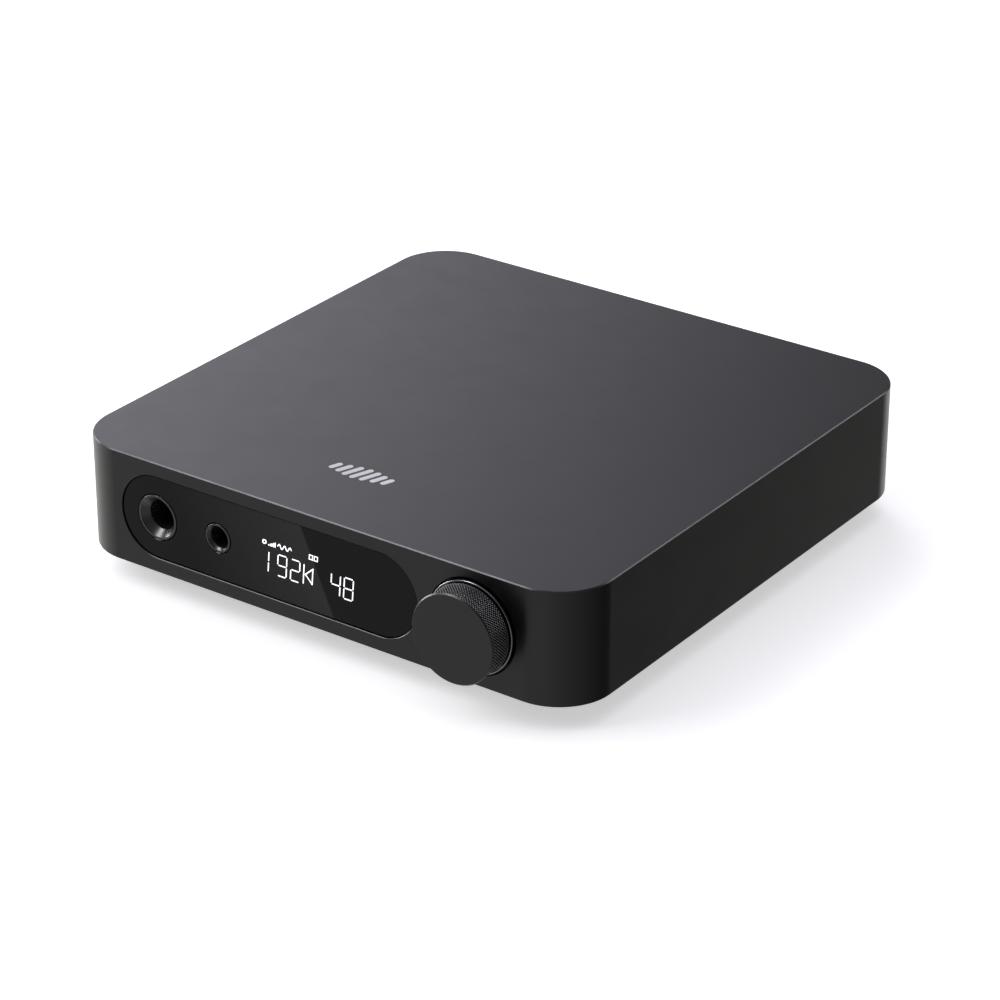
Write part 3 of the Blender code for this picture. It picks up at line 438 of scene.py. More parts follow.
class Graph:
    """A material's node tree, with short calls for the nodes that the finishes share."""

    def __init__(self, name: str) -> None:
        """Start a material with its Principled shader and object coordinates."""
        self.material = bpy.data.materials.new(name)
        self.material.use_nodes = True
        self.tree = self.material.node_tree
        self.shader = self.tree.nodes["Principled BSDF"]
        self.place = self.tree.nodes.new("ShaderNodeTexCoord").outputs["Object"]

    def set(self, **values: object) -> None:
        """Set the shader's own sockets, whose names are written with _ for a space."""
        for key, value in values.items():
            self.shader.inputs[key.replace("_", " ")].default_value = value

    def noise(self, size: float, detail: float = 2.0, roughness: float = 0.5,
              stretch: Sequence[float] = (1.0, 1.0, 1.0)) -> bpy.types.NodeSocket:
        """Noise whose grains are about size metres across, stretched along each axis.

        Args:
            size: how wide a grain is.
            detail: how many finer layers are added.
            roughness: how strong the finer layers are.
            stretch: how far grains are drawn out along x, y and z.

        Returns:
            The noise's value, from 0 to 1.
        """
        mapping = self.tree.nodes.new("ShaderNodeMapping")
        mapping.inputs["Scale"].default_value = [1.0 / (size * s) for s in stretch]
        self.tree.links.new(self.place, mapping.inputs["Vector"])
        texture = self.tree.nodes.new("ShaderNodeTexNoise")
        texture.inputs["Scale"].default_value = 1.0
        texture.inputs["Detail"].default_value = detail
        texture.inputs["Roughness"].default_value = roughness
        self.tree.links.new(mapping.outputs["Vector"], texture.inputs["Vector"])
        return texture.outputs["Fac"]

    def math(self, operation: str, first: object, second: object = 0.0,
             clamp: bool = False) -> bpy.types.NodeSocket:
        """One step of arithmetic on sockets or numbers.

        Args:
            operation: the node's own name for the step.
            first: a socket or a number.
            second: a socket or a number.
            clamp: True keeps the result from 0 to 1.

        Returns:
            The result's socket.
        """
        step = self.tree.nodes.new("ShaderNodeMath")
        step.operation = operation
        step.use_clamp = clamp
        for socket, value in zip(step.inputs, (first, second)):
            if isinstance(value, bpy.types.NodeSocket):
                self.tree.links.new(value, socket)
            else:
                socket.default_value = value
        return step.outputs["Value"]

    def spread(self, source: bpy.types.NodeSocket, low: float, high: float,
               start: float = 0.3, end: float = 0.7) -> bpy.types.NodeSocket:
        """Map a texture's middle range to the range from low to high.

        Args:
            source: the texture's value.
            low: result at the start of the range.
            high: result at its end.
            start: value that gives low.
            end: value that gives high.

        Returns:
            The result's socket.
        """
        step = self.tree.nodes.new("ShaderNodeMapRange")
        step.inputs["From Min"].default_value = start
        step.inputs["From Max"].default_value = end
        step.inputs["To Min"].default_value = low
        step.inputs["To Max"].default_value = high
        self.tree.links.new(source, step.inputs["Value"])
        return step.outputs["Result"]

    def blend(self, amount: bpy.types.NodeSocket, first: Sequence[float],
              second: Sequence[float]) -> bpy.types.NodeSocket:
        """Mix two colours by a socket's value.

        Args:
            amount: 0 for the first colour, 1 for the second.
            first: red, green and blue.
            second: red, green and blue.

        Returns:
            The mixed colour's socket.
        """
        mix = self.tree.nodes.new("ShaderNodeMix")
        mix.data_type = "RGBA"
        mix.inputs["A"].default_value = (*first, 1.0)
        mix.inputs["B"].default_value = (*second, 1.0)
        self.tree.links.new(amount, mix.inputs["Factor"])
        return mix.outputs["Result"]

    def bump(self, height: bpy.types.NodeSocket, depth: float, strength: float = 1.0) -> None:
        """Lift the surface by a height texture, depth metres from low to high.

        Args:
            height: the texture, from 0 to 1.
            depth: how far 1 stands above 0.
            strength: how much of the effect shows.
        """
        bump = self.tree.nodes.new("ShaderNodeBump")
        bump.inputs["Strength"].default_value = strength
        bump.inputs["Distance"].default_value = depth
        self.tree.links.new(height, bump.inputs["Height"])
        before = self.shader.inputs["Normal"].links
        if before:
            self.tree.links.new(before[0].from_socket, bump.inputs["Normal"])
        self.tree.links.new(bump.outputs["Normal"], self.shader.inputs["Normal"])

    def feed(self, socket: str, source: bpy.types.NodeSocket) -> None:
        """Link a source to one of the shader's sockets."""
        self.tree.links.new(source, self.shader.inputs[socket])


@dataclass(frozen=True)
class Finish:
    """What a piece is made of: its colour, its gloss and the grain of its surface."""

    name: str
    colour: tuple[float, float, float]
    roughness: float = 0.4
    metallic: float = 0.0
    grain: float = 0.25 * MM
    relief: float = 0.004 * MM
    mottle: float = 0.10
    stretch: tuple[float, float, float] = (1.0, 1.0, 1.0)
    coat: float = 0.0

    def material(self) -> bpy.types.Material:
        """Return the material, made on first use."""
        known = bpy.data.materials.get(f"{self.name}_finish")
        if known:
            return known
        graph = Graph(f"{self.name}_finish")
        self.build(graph)
        return graph.material

    def shades(self) -> tuple[tuple[float, float, float], tuple[float, float, float]]:
        """The darkest and lightest colours that the mottling reaches."""
        dark = tuple(c * (1.0 - self.mottle) for c in self.colour)
        light = tuple(min(1.0, c * (1.0 + self.mottle)) for c in self.colour)
        return dark, light

    def build(self, graph: Graph) -> None:
        """Add broad cloudy colour and gloss, and a fine grain in relief.

        Args:
            graph: the material's node tree.
        """
        graph.set(Metallic=self.metallic)
        cloud = graph.noise(18 * MM, detail=3.0)
        graph.feed("Base Color", graph.blend(graph.spread(cloud, 0.0, 1.0), *self.shades()))
        fine = graph.noise(self.grain, stretch=self.stretch)
        broad = graph.noise(7 * MM, detail=2.0)
        gloss = graph.math("ADD", graph.spread(fine, -0.03, 0.03), graph.spread(broad, -0.02, 0.02))
        graph.feed("Roughness", graph.math("ADD", gloss, self.roughness, clamp=True))
        graph.bump(fine, self.relief)
        if self.coat:
            graph.set(Coat_Weight=self.coat, Coat_Roughness=0.08)


@dataclass(frozen=True)
class LensWithPaintedReflection(Finish):
    """Glossy black lens with a painted reflection: a lighter band past a slanted edge, fading away from it;
    faint wipe marks.
    """

    edge_x: float = 1.2 * MM
    edge_z: float = 19.2 * MM
    lean: float = 0.434
    fade: float = 36.0 * MM
    # painted reflection: this lighter colour stands for a light mirrored in the lens
    painted_reflection: tuple[float, float, float] = (0.0195, 0.0195, 0.0203)

    def build(self, graph: Graph) -> None:
        """Paint a light's reflection into the colour by the distance across the slanted edge: a step, then a
        slow fade away from it.

        Args:
            graph: the material's node tree.
        """
        split = graph.tree.nodes.new("ShaderNodeSeparateXYZ")
        graph.tree.links.new(graph.place, split.inputs["Vector"])
        lean = graph.math("MULTIPLY", split.outputs["Z"], self.lean)
        across = graph.math("ADD", split.outputs["X"], lean)
        distance = graph.math("SUBTRACT", self.edge_x + self.lean * self.edge_z, across)
        step = graph.spread(distance, 0.0, 1.0, -0.25 * MM, 0.25 * MM)
        slow = graph.spread(distance, 1.0, 0.0, 0.0, self.fade)
        amount = graph.math("MULTIPLY", step, slow, clamp=True)
        # painted reflection: past the slanted edge the colour turns lighter, standing in for a mirrored
        # light, then fades
        graph.feed("Base Color", graph.blend(amount, self.colour, self.painted_reflection))
        wipe = graph.noise(5 * MM, detail=4.0, stretch=(3.0, 1.0, 0.6))
        graph.feed("Roughness", graph.spread(wipe, self.roughness - 0.02, self.roughness + 0.03))
        graph.bump(graph.noise(12 * MM, detail=1.0), self.relief, 0.3)
        graph.set(Metallic=0.0, Specular_IOR_Level=0.13)


@dataclass(frozen=True)
class Glow(Finish):
    """Lit display segment: an even white glow with slightly warmer and cooler spots."""

    strength: float = 0.9

    def build(self, graph: Graph) -> None:
        """Glow a little unevenly, as backlit segments do.

        Args:
            graph: the material's node tree.
        """
        tone = graph.noise(2.5 * MM, detail=1.0)
        graph.feed("Emission Color", graph.blend(tone, (0.82, 0.86, 0.92), (1.0, 1.0, 1.0)))
        graph.set(Base_Color=(*self.colour, 1.0), Emission_Strength=self.strength,
                  Roughness=self.roughness)


@dataclass(frozen=True)
class BoardMask(Finish):
    """Solder mask over copper: the tracks show as faint raised lines of a lighter tone."""

    pitch: float = 1.3 * MM

    def build(self, graph: Graph) -> None:
        """Cross two sets of bands, one along each side of the board, and break them up.

        Args:
            graph: the material's node tree.
        """
        super().build(graph)
        split = graph.tree.nodes.new("ShaderNodeSeparateXYZ")
        graph.tree.links.new(graph.place, split.inputs["Vector"])
        along = graph.math("PINGPONG", split.outputs["X"], self.pitch)
        across = graph.math("PINGPONG", split.outputs["Y"], self.pitch)
        patch = graph.noise(6 * MM, detail=0.0)
        chosen = graph.math("GREATER_THAN", patch, 0.5)
        other = graph.math("SUBTRACT", 1.0, chosen)
        mixed = graph.math("ADD", graph.math("MULTIPLY", along, chosen),
                           graph.math("MULTIPLY", across, other))
        track = graph.math("LESS_THAN", mixed, 0.28 * self.pitch)
        light = tuple(min(1.0, 1.9 * c + 0.01) for c in self.colour)
        graph.feed("Base Color", graph.blend(track, self.colour, light))
        graph.bump(track, 0.03 * MM, 0.6)


SHELL = Finish("dark_anodised", (0.034, 0.0337, 0.0358), 0.34, 1.0, grain=0.16 * MM,
               relief=0.0022 * MM, mottle=0.03)
KNOB = Finish("knob_anodised", (0.036, 0.036, 0.037), 0.36, 1.0, grain=0.16 * MM,
              relief=0.0022 * MM, mottle=0.03)
# painted sheen: the knurl's cut faces get a far lighter colour than the knob, standing in for glints
KNURL_PAINTED_SHEEN = Finish("knob_knurl_painted_sheen", (0.25, 0.25, 0.255), 0.24, 1.0, grain=0.16 * MM,
               relief=0.001 * MM, mottle=0.03)
# painted shade: the knurl's valleys and the band's foot beside the ring get a darker colour than the knob
GROOVE_PAINTED_SHADE = Finish("knob_groove_painted_shade", (0.026, 0.026, 0.027), 0.45, 1.0, grain=0.16 * MM,
                relief=0.001 * MM, mottle=0.03)
RING = Finish("cut_ring", (0.16, 0.16, 0.165), 0.22, 1.0, grain=0.2 * MM, relief=0.001 * MM)
# the lens carries a painted reflection in its colour
LENS = LensWithPaintedReflection("black_gloss", (0.0018, 0.0018, 0.0022), 0.10, relief=0.01 * MM)
JACK = Finish("jack_plastic", (0.010, 0.010, 0.011), 0.28, grain=0.4 * MM)
MOULDED = Finish("black_plastic", (0.020, 0.020, 0.021), 0.45, relief=0.012 * MM)
GREY = Finish("grey_plastic", (0.25, 0.25, 0.26), 0.50, relief=0.012 * MM)
RUBBER = Finish("rubber", (0.018, 0.018, 0.018), 0.82, grain=0.35 * MM, relief=0.03 * MM)
STEEL = Finish("steel", (0.56, 0.56, 0.57), 0.28, 1.0, stretch=(0.3, 6.0, 0.3))
BLACK_STEEL = Finish("black_steel", (0.026, 0.026, 0.027), 0.50, 0.0, grain=0.45 * MM,
                     relief=0.03 * MM)
SCREW = Finish("black_screw", (0.10, 0.10, 0.10), 0.32, 1.0, grain=0.2 * MM)
GOLD = Finish("gold", (0.86, 0.62, 0.25), 0.18, 1.0, mottle=0.05, relief=0.001 * MM)
FILM = Finish("copper_film", (0.55, 0.30, 0.12), 0.40, 0.2, stretch=(0.3, 8.0, 8.0))
GREEN = BoardMask("green_board", (0.010, 0.075, 0.030), 0.36, coat=0.3)
BLACK = BoardMask("black_board", (0.010, 0.012, 0.014), 0.36, coat=0.3)
CHIP = Finish("chip", (0.022, 0.022, 0.024), 0.58, grain=0.12 * MM, relief=0.01 * MM)
GLASS = Finish("display_glass", (0.012, 0.014, 0.017), 0.08, coat=1.0)
WHITE_CORE = Finish("white_core", (0.78, 0.78, 0.75), 0.42, relief=0.006 * MM)
RED_CORE = Finish("red_core", (0.55, 0.015, 0.012), 0.42, relief=0.006 * MM)
ORANGE_CORE = Finish("orange_core", (0.78, 0.25, 0.015), 0.42, relief=0.006 * MM)
CAN = Finish("aluminium_can", (0.62, 0.63, 0.65), 0.30, 1.0, stretch=(4.0, 4.0, 0.4))
PRINT = Finish("light_print", (0.60, 0.60, 0.62), 0.42, 0.0, grain=0.2 * MM)
SEGMENT = Glow("lit_segment", (0.70, 0.72, 0.74), 0.35)

SLOT_FINISHES = {
    "dark_anodised": SHELL, "knob_anodised": KNOB, "black_gloss": LENS, "black_plastic": MOULDED,
    "grey_plastic": GREY, "rubber": RUBBER, "steel": STEEL, "black_steel": BLACK_STEEL,
    "gold": GOLD, "copper_film": FILM, "green_board": GREEN, "black_board": BLACK, "chip": CHIP,
    "display_glass": GLASS, "white_core": WHITE_CORE, "red_core": RED_CORE,
    "orange_core": ORANGE_CORE, "aluminium_can": CAN,
}


# ------------------------------------------------------------------ places in the frame

@dataclass
class NodeBox:
    """The corners of one of the frame's nodes, and what follows from them."""

    node: str
    low: Vector = field(init=False)
    high: Vector = field(init=False)

    def __post_init__(self) -> None:
        """Read the corners."""
        self.low, self.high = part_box(self.node)

    @property
    def middle(self) -> Vector:
        """The box's centre."""
        return (self.low + self.high) / 2

    @property
    def half(self) -> Vector:
        """Half the box's size along each axis."""
        return (self.high - self.low) / 2

    def across(self, facing: Facing) -> tuple[float, float]:
        """The centre, on the two axes across a facing."""
        middle = self.middle
        return (middle.x, middle.y) if facing is Facing.UP else (middle.x, middle.z)


# ------------------------------------------------------------------ sub-assemblies

@dataclass
class Case:
    """The milled shell, its bottom cover, feet and screws."""

    corner_radius: float = 12.74 * MM
    corner_steps: int = 40
    wall: float = 3.6 * MM
    roof: float = 3.0 * MM
    top_edge: float = 0.24 * MM
    low_edge: float = 0.25 * MM
    lip: float = 0.11 * MM
    boss_radius: float = 4.4 * MM
    boss_foot: float = 1.2 * MM
    recess_radius: float = 10.85 * MM
    recess_depth: float = 2.2 * MM
    recess_edge: float = 0.15 * MM
    pill_gap: float = 0.2 * MM
    window_gap: float = 0.3 * MM
    pilot: float = 1.25 * MM
    pilot_top: float = 16.0 * MM

    def build(self) -> None:
        """Make and dress every piece of the case."""
        self.build_shell()
        self.build_cover()
        self.build_feet()
        self.build_screws()

    def top_levels(self, top: float) -> list[tuple[float, float]]:
        """Levels of the top rim: a flat 45 degree chamfer, softened where it meets each face.

        Args:
            top: height of the top face.

        Returns:
            (offset, height) levels, from the wall to the top face.
        """
        edge = self.top_edge
        soft = 0.06 * MM
        return [(0.0, top - edge - soft), (-0.2 * soft, top - edge), (-edge, top - 0.2 * soft),
                (-edge - soft, top)]

    def build_shell(self) -> None:
        """The shell: one outline lofted up the outside, over the bottom rim and up the inside."""
        box = NodeBox("body_shell")
        outline = rounded_rectangle(box.half.x, box.half.y, self.corner_radius, self.corner_steps)
        normals = arc_normals(outline, self.corner_steps)
        base = box.low.z
        rim = [(o, base + h) for o, h in ((-self.low_edge, 0.0), (-0.3 * self.low_edge, 0.3 * self.low_edge),
                                          (0.0, self.low_edge))]
        inside = [(-self.wall, box.high.z - self.roof), (-self.wall, base)]
        levels = inside + rim + self.top_levels(box.high.z)
        shell = offset_loft("case_shell", outline, levels, Facing.UP, normals=normals)
        carve(shell, self.bosses(box), Carve.ADD)
        carve(shell, [*self.boss_holes(), *self.front_cutters(box), *self.rear_cutters(box)])
        settle(shell, "enclosure", SHELL, ["body_shell"], angle=24.0)

    def bosses(self, box: NodeBox) -> list[bpy.types.Object]:
        """Four corner pillars for the cover screws, and two pads for the rear screws.

        Args:
            box: the frame's shell.

        Returns:
            The pillars and pads.
        """
        made = []
        for name in COVER_SCREWS:
            place = NodeBox(name).across(Facing.UP)
            made.append(prism(f"boss_{name}", circle(self.boss_radius, 48),
                              box.low.z + self.boss_foot, box.high.z - self.roof / 2, Facing.UP, place))
        for name in REAR_SCREWS:
            place = NodeBox(name).across(Facing.BACK)
            inner = box.high.y - self.wall
            made.append(prism(f"pad_{name}", rounded_rectangle(3.4 * MM, 3.4 * MM, 0.8 * MM, 6),
                              inner - 5.0 * MM, inner + 0.5 * MM, Facing.BACK, place))
        return made

    def boss_holes(self) -> list[bpy.types.Object]:
        """Pilot holes up the corner pillars."""
        return [prism(f"hole_{name}", circle(self.pilot, 24), 0.0, self.pilot_top, Facing.UP,
                      NodeBox(name).across(Facing.UP)) for name in COVER_SCREWS]

    def front_cutters(self, box: NodeBox) -> list[bpy.types.Object]:
        """The pill-shaped pocket, the openings behind it, and the knob's round recess.

        Args:
            box: the frame's shell.

        Returns:
            The tools that cut them.
        """
        face = -box.low.y
        window = NodeBox("front_window")
        half_x, half_z = window.half.x + self.pill_gap, window.half.z + self.pill_gap
        floor = -(window.high.y + self.window_gap)
        pocket = offset_loft("pill_pocket", stadium(half_x, half_z, 64),
                             ((0.0, floor), (0.0, face - self.lip), (self.lip, face),
                              (self.lip, face + 1.0 * MM)),
                             Facing.FRONT, window.across(Facing.FRONT))
        tools = [pocket]
        panel = NodeBox("display_panel")
        slot = rounded_rectangle(panel.half.x + self.window_gap, panel.half.z + self.window_gap,
                                 0.5 * MM, 4)
        deep = floor - 3.0 * MM
        tools.append(prism("display_slot", slot, deep, floor + 0.5 * MM, Facing.FRONT,
                           panel.across(Facing.FRONT)))
        for jack in (LARGE_JACK, SMALL_JACK):
            tools.append(prism(f"{jack.name}_opening", circle(jack.nose + 0.3 * MM, 64), deep,
                               floor + 0.5 * MM, Facing.FRONT,
                               NodeBox(jack.name).across(Facing.FRONT)))
        edge = self.recess_edge
        tools.append(revolve("knob_recess", (
            (0.0, face + 1.0 * MM), (self.recess_radius + edge, face + 1.0 * MM),
            (self.recess_radius + edge, face),
            (self.recess_radius, face - edge), (self.recess_radius, face - self.recess_depth),
            (3.8 * MM, face - self.recess_depth), (3.8 * MM, face - self.wall - 1.0 * MM),
            (0.0, face - self.wall - 1.0 * MM)), Facing.FRONT,
            NodeBox("volume_knob").across(Facing.FRONT), steps=160))
        return tools

    def rear_cutters(self, box: NodeBox) -> list[bpy.types.Object]:
        """The pocket for the rear panel, the opening behind it and the two screw holes.

        Args:
            box: the frame's shell.

        Returns:
            The tools that cut them.
        """
        panel = NodeBox("rear_panel")
        place = panel.across(Facing.BACK)
        gap = self.window_gap
        ledge = panel.low.y - gap
        pocket = offset_loft("panel_pocket", rounded_rectangle(panel.half.x + gap,
                                                               panel.half.z + gap, 2.3 * MM, 12),
                             ((0.0, ledge), (0.0, box.high.y - self.lip),
                              (self.lip, box.high.y), (self.lip, box.high.y + 1.0 * MM)),
                             Facing.BACK, place)
        outline = rounded_rectangle(47.5 * MM, panel.half.z - 1.2 * MM, 1.0 * MM, 6)
        opening = prism("rear_opening", outline, box.high.y - self.wall - 1.0 * MM,
                        ledge + 0.5 * MM, Facing.BACK, place)
        holes = [prism(f"hole_{name}", circle(self.pilot, 24), box.high.y - self.wall - 4.0 * MM,
                       box.high.y, Facing.BACK, NodeBox(name).across(Facing.BACK))
                 for name in REAR_SCREWS]
        return [pocket, opening, *holes]

    def build_cover(self) -> None:
        """Bottom cover: a plate with round rims, board standoffs above and sunk screw seats."""
        box = NodeBox("bottom_cover")
        plate_top = box.low.z + 3.2 * MM
        radius = self.corner_radius - self.wall - 0.3 * MM
        outline = rounded_rectangle(box.half.x, box.half.y, radius, 24)
        cover = offset_loft("plinth_cover", outline,
                            slab_levels(box.low.z, plate_top, 0.5 * MM), Facing.UP,
                            normals=arc_normals(outline, 24))
        stands = []
        holes = []
        for name in BOARD_SCREWS:
            place = NodeBox(name).across(Facing.UP)
            stands.append(prism(f"stand_{name}", circle(3.0 * MM, 32), plate_top - 1.0 * MM,
                                box.high.z, Facing.UP, place))
            holes.append(prism(f"stand_hole_{name}", circle(1.3 * MM, 24), plate_top - 1.5 * MM,
                               box.high.z + 1.0 * MM, Facing.UP, place))
        for name in COVER_SCREWS:
            seat = box.low.z + 1.9 * MM
            holes.append(revolve(f"seat_{name}", (
                (0.0, plate_top + 1.0 * MM), (1.6 * MM, plate_top + 1.0 * MM), (1.6 * MM, seat),
                (2.7 * MM, seat), (2.7 * MM, box.low.z + 0.25 * MM),
                (2.95 * MM, box.low.z), (2.95 * MM, 0.0), (0.0, 0.0)), Facing.UP,
                NodeBox(name).across(Facing.UP), steps=48))
        carve(cover, stands, Carve.ADD)
        carve(cover, holes)
        settle(cover, "enclosure", BLACK_STEEL, ["bottom_cover"])

    def build_feet(self) -> None:
        """Feet: turned rubber pads with a round shoulder and two shallow rings underneath."""
        for name in FEET:
            box = NodeBox(name)
            radius, height = box.half.x, box.high.z
            shoulder = [(radius - 0.8 * MM * (1 - math.cos(a)), 0.8 * MM * (1 - math.sin(a)))
                        for a in np.linspace(0.0, math.pi / 2, 7)]
            groove = 0.25 * MM
            rings = []
            for ring in (3.9 * MM, 2.4 * MM):
                rings += [(ring + 0.45 * MM, 0.0), (ring + 0.25 * MM, groove),
                          (ring - 0.25 * MM, groove), (ring - 0.45 * MM, 0.0)]
            profile = [(0.0, height), (radius - 0.2 * MM, height), (radius, height - 0.2 * MM),
                       *shoulder, *rings, (0.0, 0.0)]
            foot = revolve(f"{name}_pad", profile, Facing.UP, box.across(Facing.UP), steps=64)
            settle(foot, "enclosure", RUBBER, [name], angle=35.0)

    def build_screws(self) -> None:
        """Screws: turned button heads with a six-sided socket."""
        for name in COVER_SCREWS:
            socket_screw(name, Facing.UP, -1.0, SCREW)
        for name in REAR_SCREWS:
            socket_screw(name, Facing.BACK, 1.0, SCREW)
        for name in BOARD_SCREWS:
            socket_screw(name, Facing.UP, 1.0, STEEL)


def socket_screw(name: str, facing: Facing, sign: float, finish: Finish) -> None:
    """A machine screw: a domed head at one end of its box and a threaded shank along the rest.

    The shank's radius rises and falls in rings, a thread's pitch apart.

    Args:
        name: the frame's screw node.
        facing: the axis that the screw lies along.
        sign: +1 where the head is at the far end of that axis, -1 at the near end.
        finish: what it is made of.
    """
    box = NodeBox(name)
    axis = 2 if facing is Facing.UP else 1
    tip, crown = (box.low[axis], box.high[axis]) if sign > 0 else (box.high[axis], box.low[axis])
    radius = box.half.x
    head = 1.45 * MM
    seat = crown - sign * head
    dome = [(radius * math.sin(a), crown - sign * 0.55 * MM * (1 - math.cos(a)) / 0.6)
            for a in np.linspace(0.0, 1.16, 9)]
    side = [(radius, seat + sign * 0.45 * MM), (radius, seat + sign * 0.1 * MM),
            (radius - 0.1 * MM, seat), (1.0 * MM, seat)]
    turns = int(abs(seat - tip) / (0.4 * MM))
    heights = np.linspace(seat, tip, 2 * turns + 1)[1:-1]
    thread = [(0.98 * MM if i % 2 else 0.80 * MM, float(h)) for i, h in enumerate(heights)]
    profile = [*dome, *side, *thread, (0.7 * MM, tip), (0.0, tip)]
    screw = revolve(f"{name}_turned", profile, facing, box.across(facing), steps=36)
    socket = prism(f"{name}_socket", circle(0.52 * radius, 6), crown - sign * 0.95 * MM,
                   crown + sign * 1.0 * MM, facing, box.across(facing))
    carve(screw, [socket])
    settle(screw, "enclosure", finish, [name], angle=30.0)


@dataclass
class Jack:
    """A headphone jack: a box behind the front, with a turned nose, funnel mouth and bore."""

    name: str
    nose: float
    mouth: float
    bore: float
    bore_end: float
    slots: tuple[tuple[int, float, float], ...]

    def build(self) -> None:
        """Join the box and the nose, then cut the flared bore and the spring slots."""
        box = NodeBox(self.name)
        centre = box.across(Facing.FRONT)
        shell_inner = -(NodeBox("body_shell").low.y + Case.wall)
        front = -box.low.y
        body = offset_loft(f"{self.name}_moulding",
                           rounded_rectangle(box.half.x, box.half.z, 0.6 * MM, 6),
                           slab_levels(-box.high.y, shell_inner - 0.3 * MM, 0.3 * MM),
                           Facing.FRONT, centre)
        rim = 0.14 * MM
        nose = offset_loft(f"{self.name}_nose", circle(self.nose, 96),
                           ((0.0, shell_inner - 1.5 * MM), *fillet(0.0, front, rim, True, 4)),
                           Facing.FRONT, centre)
        carve(body, [nose], Carve.ADD)
        run = self.mouth - self.bore
        lip = 0.22 * MM
        flare = [(self.mouth + lip * (1 - math.sin(a)), front - lip * math.cos(a))
                 for a in np.linspace(math.pi / 2, 0.0, 5)]
        bore = revolve(f"{self.name}_bore", (
            (0.0, front + 1.0 * MM), (self.mouth + lip, front + 1.0 * MM),
            (self.mouth + lip, front + 0.01 * MM), *flare,
            (self.bore + 0.15 * MM, front - lip - run), (self.bore, front - lip - run - 0.3 * MM),
            (self.bore, -self.bore_end), (0.0, -self.bore_end)), Facing.FRONT, centre, steps=96)
        slots = []
        for number, (sign, low, high) in enumerate(self.slots):
            middle = centre[1] + sign * (box.half.z + 1.0 * MM) / 2
            outline = rounded_rectangle(1.6 * MM, (box.half.z + 1.0 * MM) / 2, 0.1 * MM, 3)
            slots.append(prism(f"{self.name}_slot_{number}", outline, -high, -low, Facing.FRONT,
                               (centre[0], middle)))
        carve(body, [bore, *slots])
        settle(body, "enclosure", JACK, [self.name])


LARGE_JACK = Jack("jack_635_housing", 5.2 * MM, 4.7 * MM, 3.3 * MM, -38.5 * MM,
                  ((1, -52.0 * MM, -40.5 * MM), (-1, -60.5 * MM, -50.0 * MM)))
SMALL_JACK = Jack("jack_44_housing", 3.32 * MM, 2.90 * MM, 2.40 * MM, -44.0 * MM,
                  ((1, -57.0 * MM, -46.0 * MM),))
COVER_SCREWS = tuple(f"cover_screw_{end}_{side}" for end in ("front", "rear")
                     for side in ("left", "right"))
REAR_SCREWS = ("rear_screw_left", "rear_screw_right")
BOARD_SCREWS = tuple(f"board_screw_{number}" for number in range(1, 5))
FEET = tuple(f"foot_{end}_{side}" for end in ("front", "rear") for side in ("left", "right"))


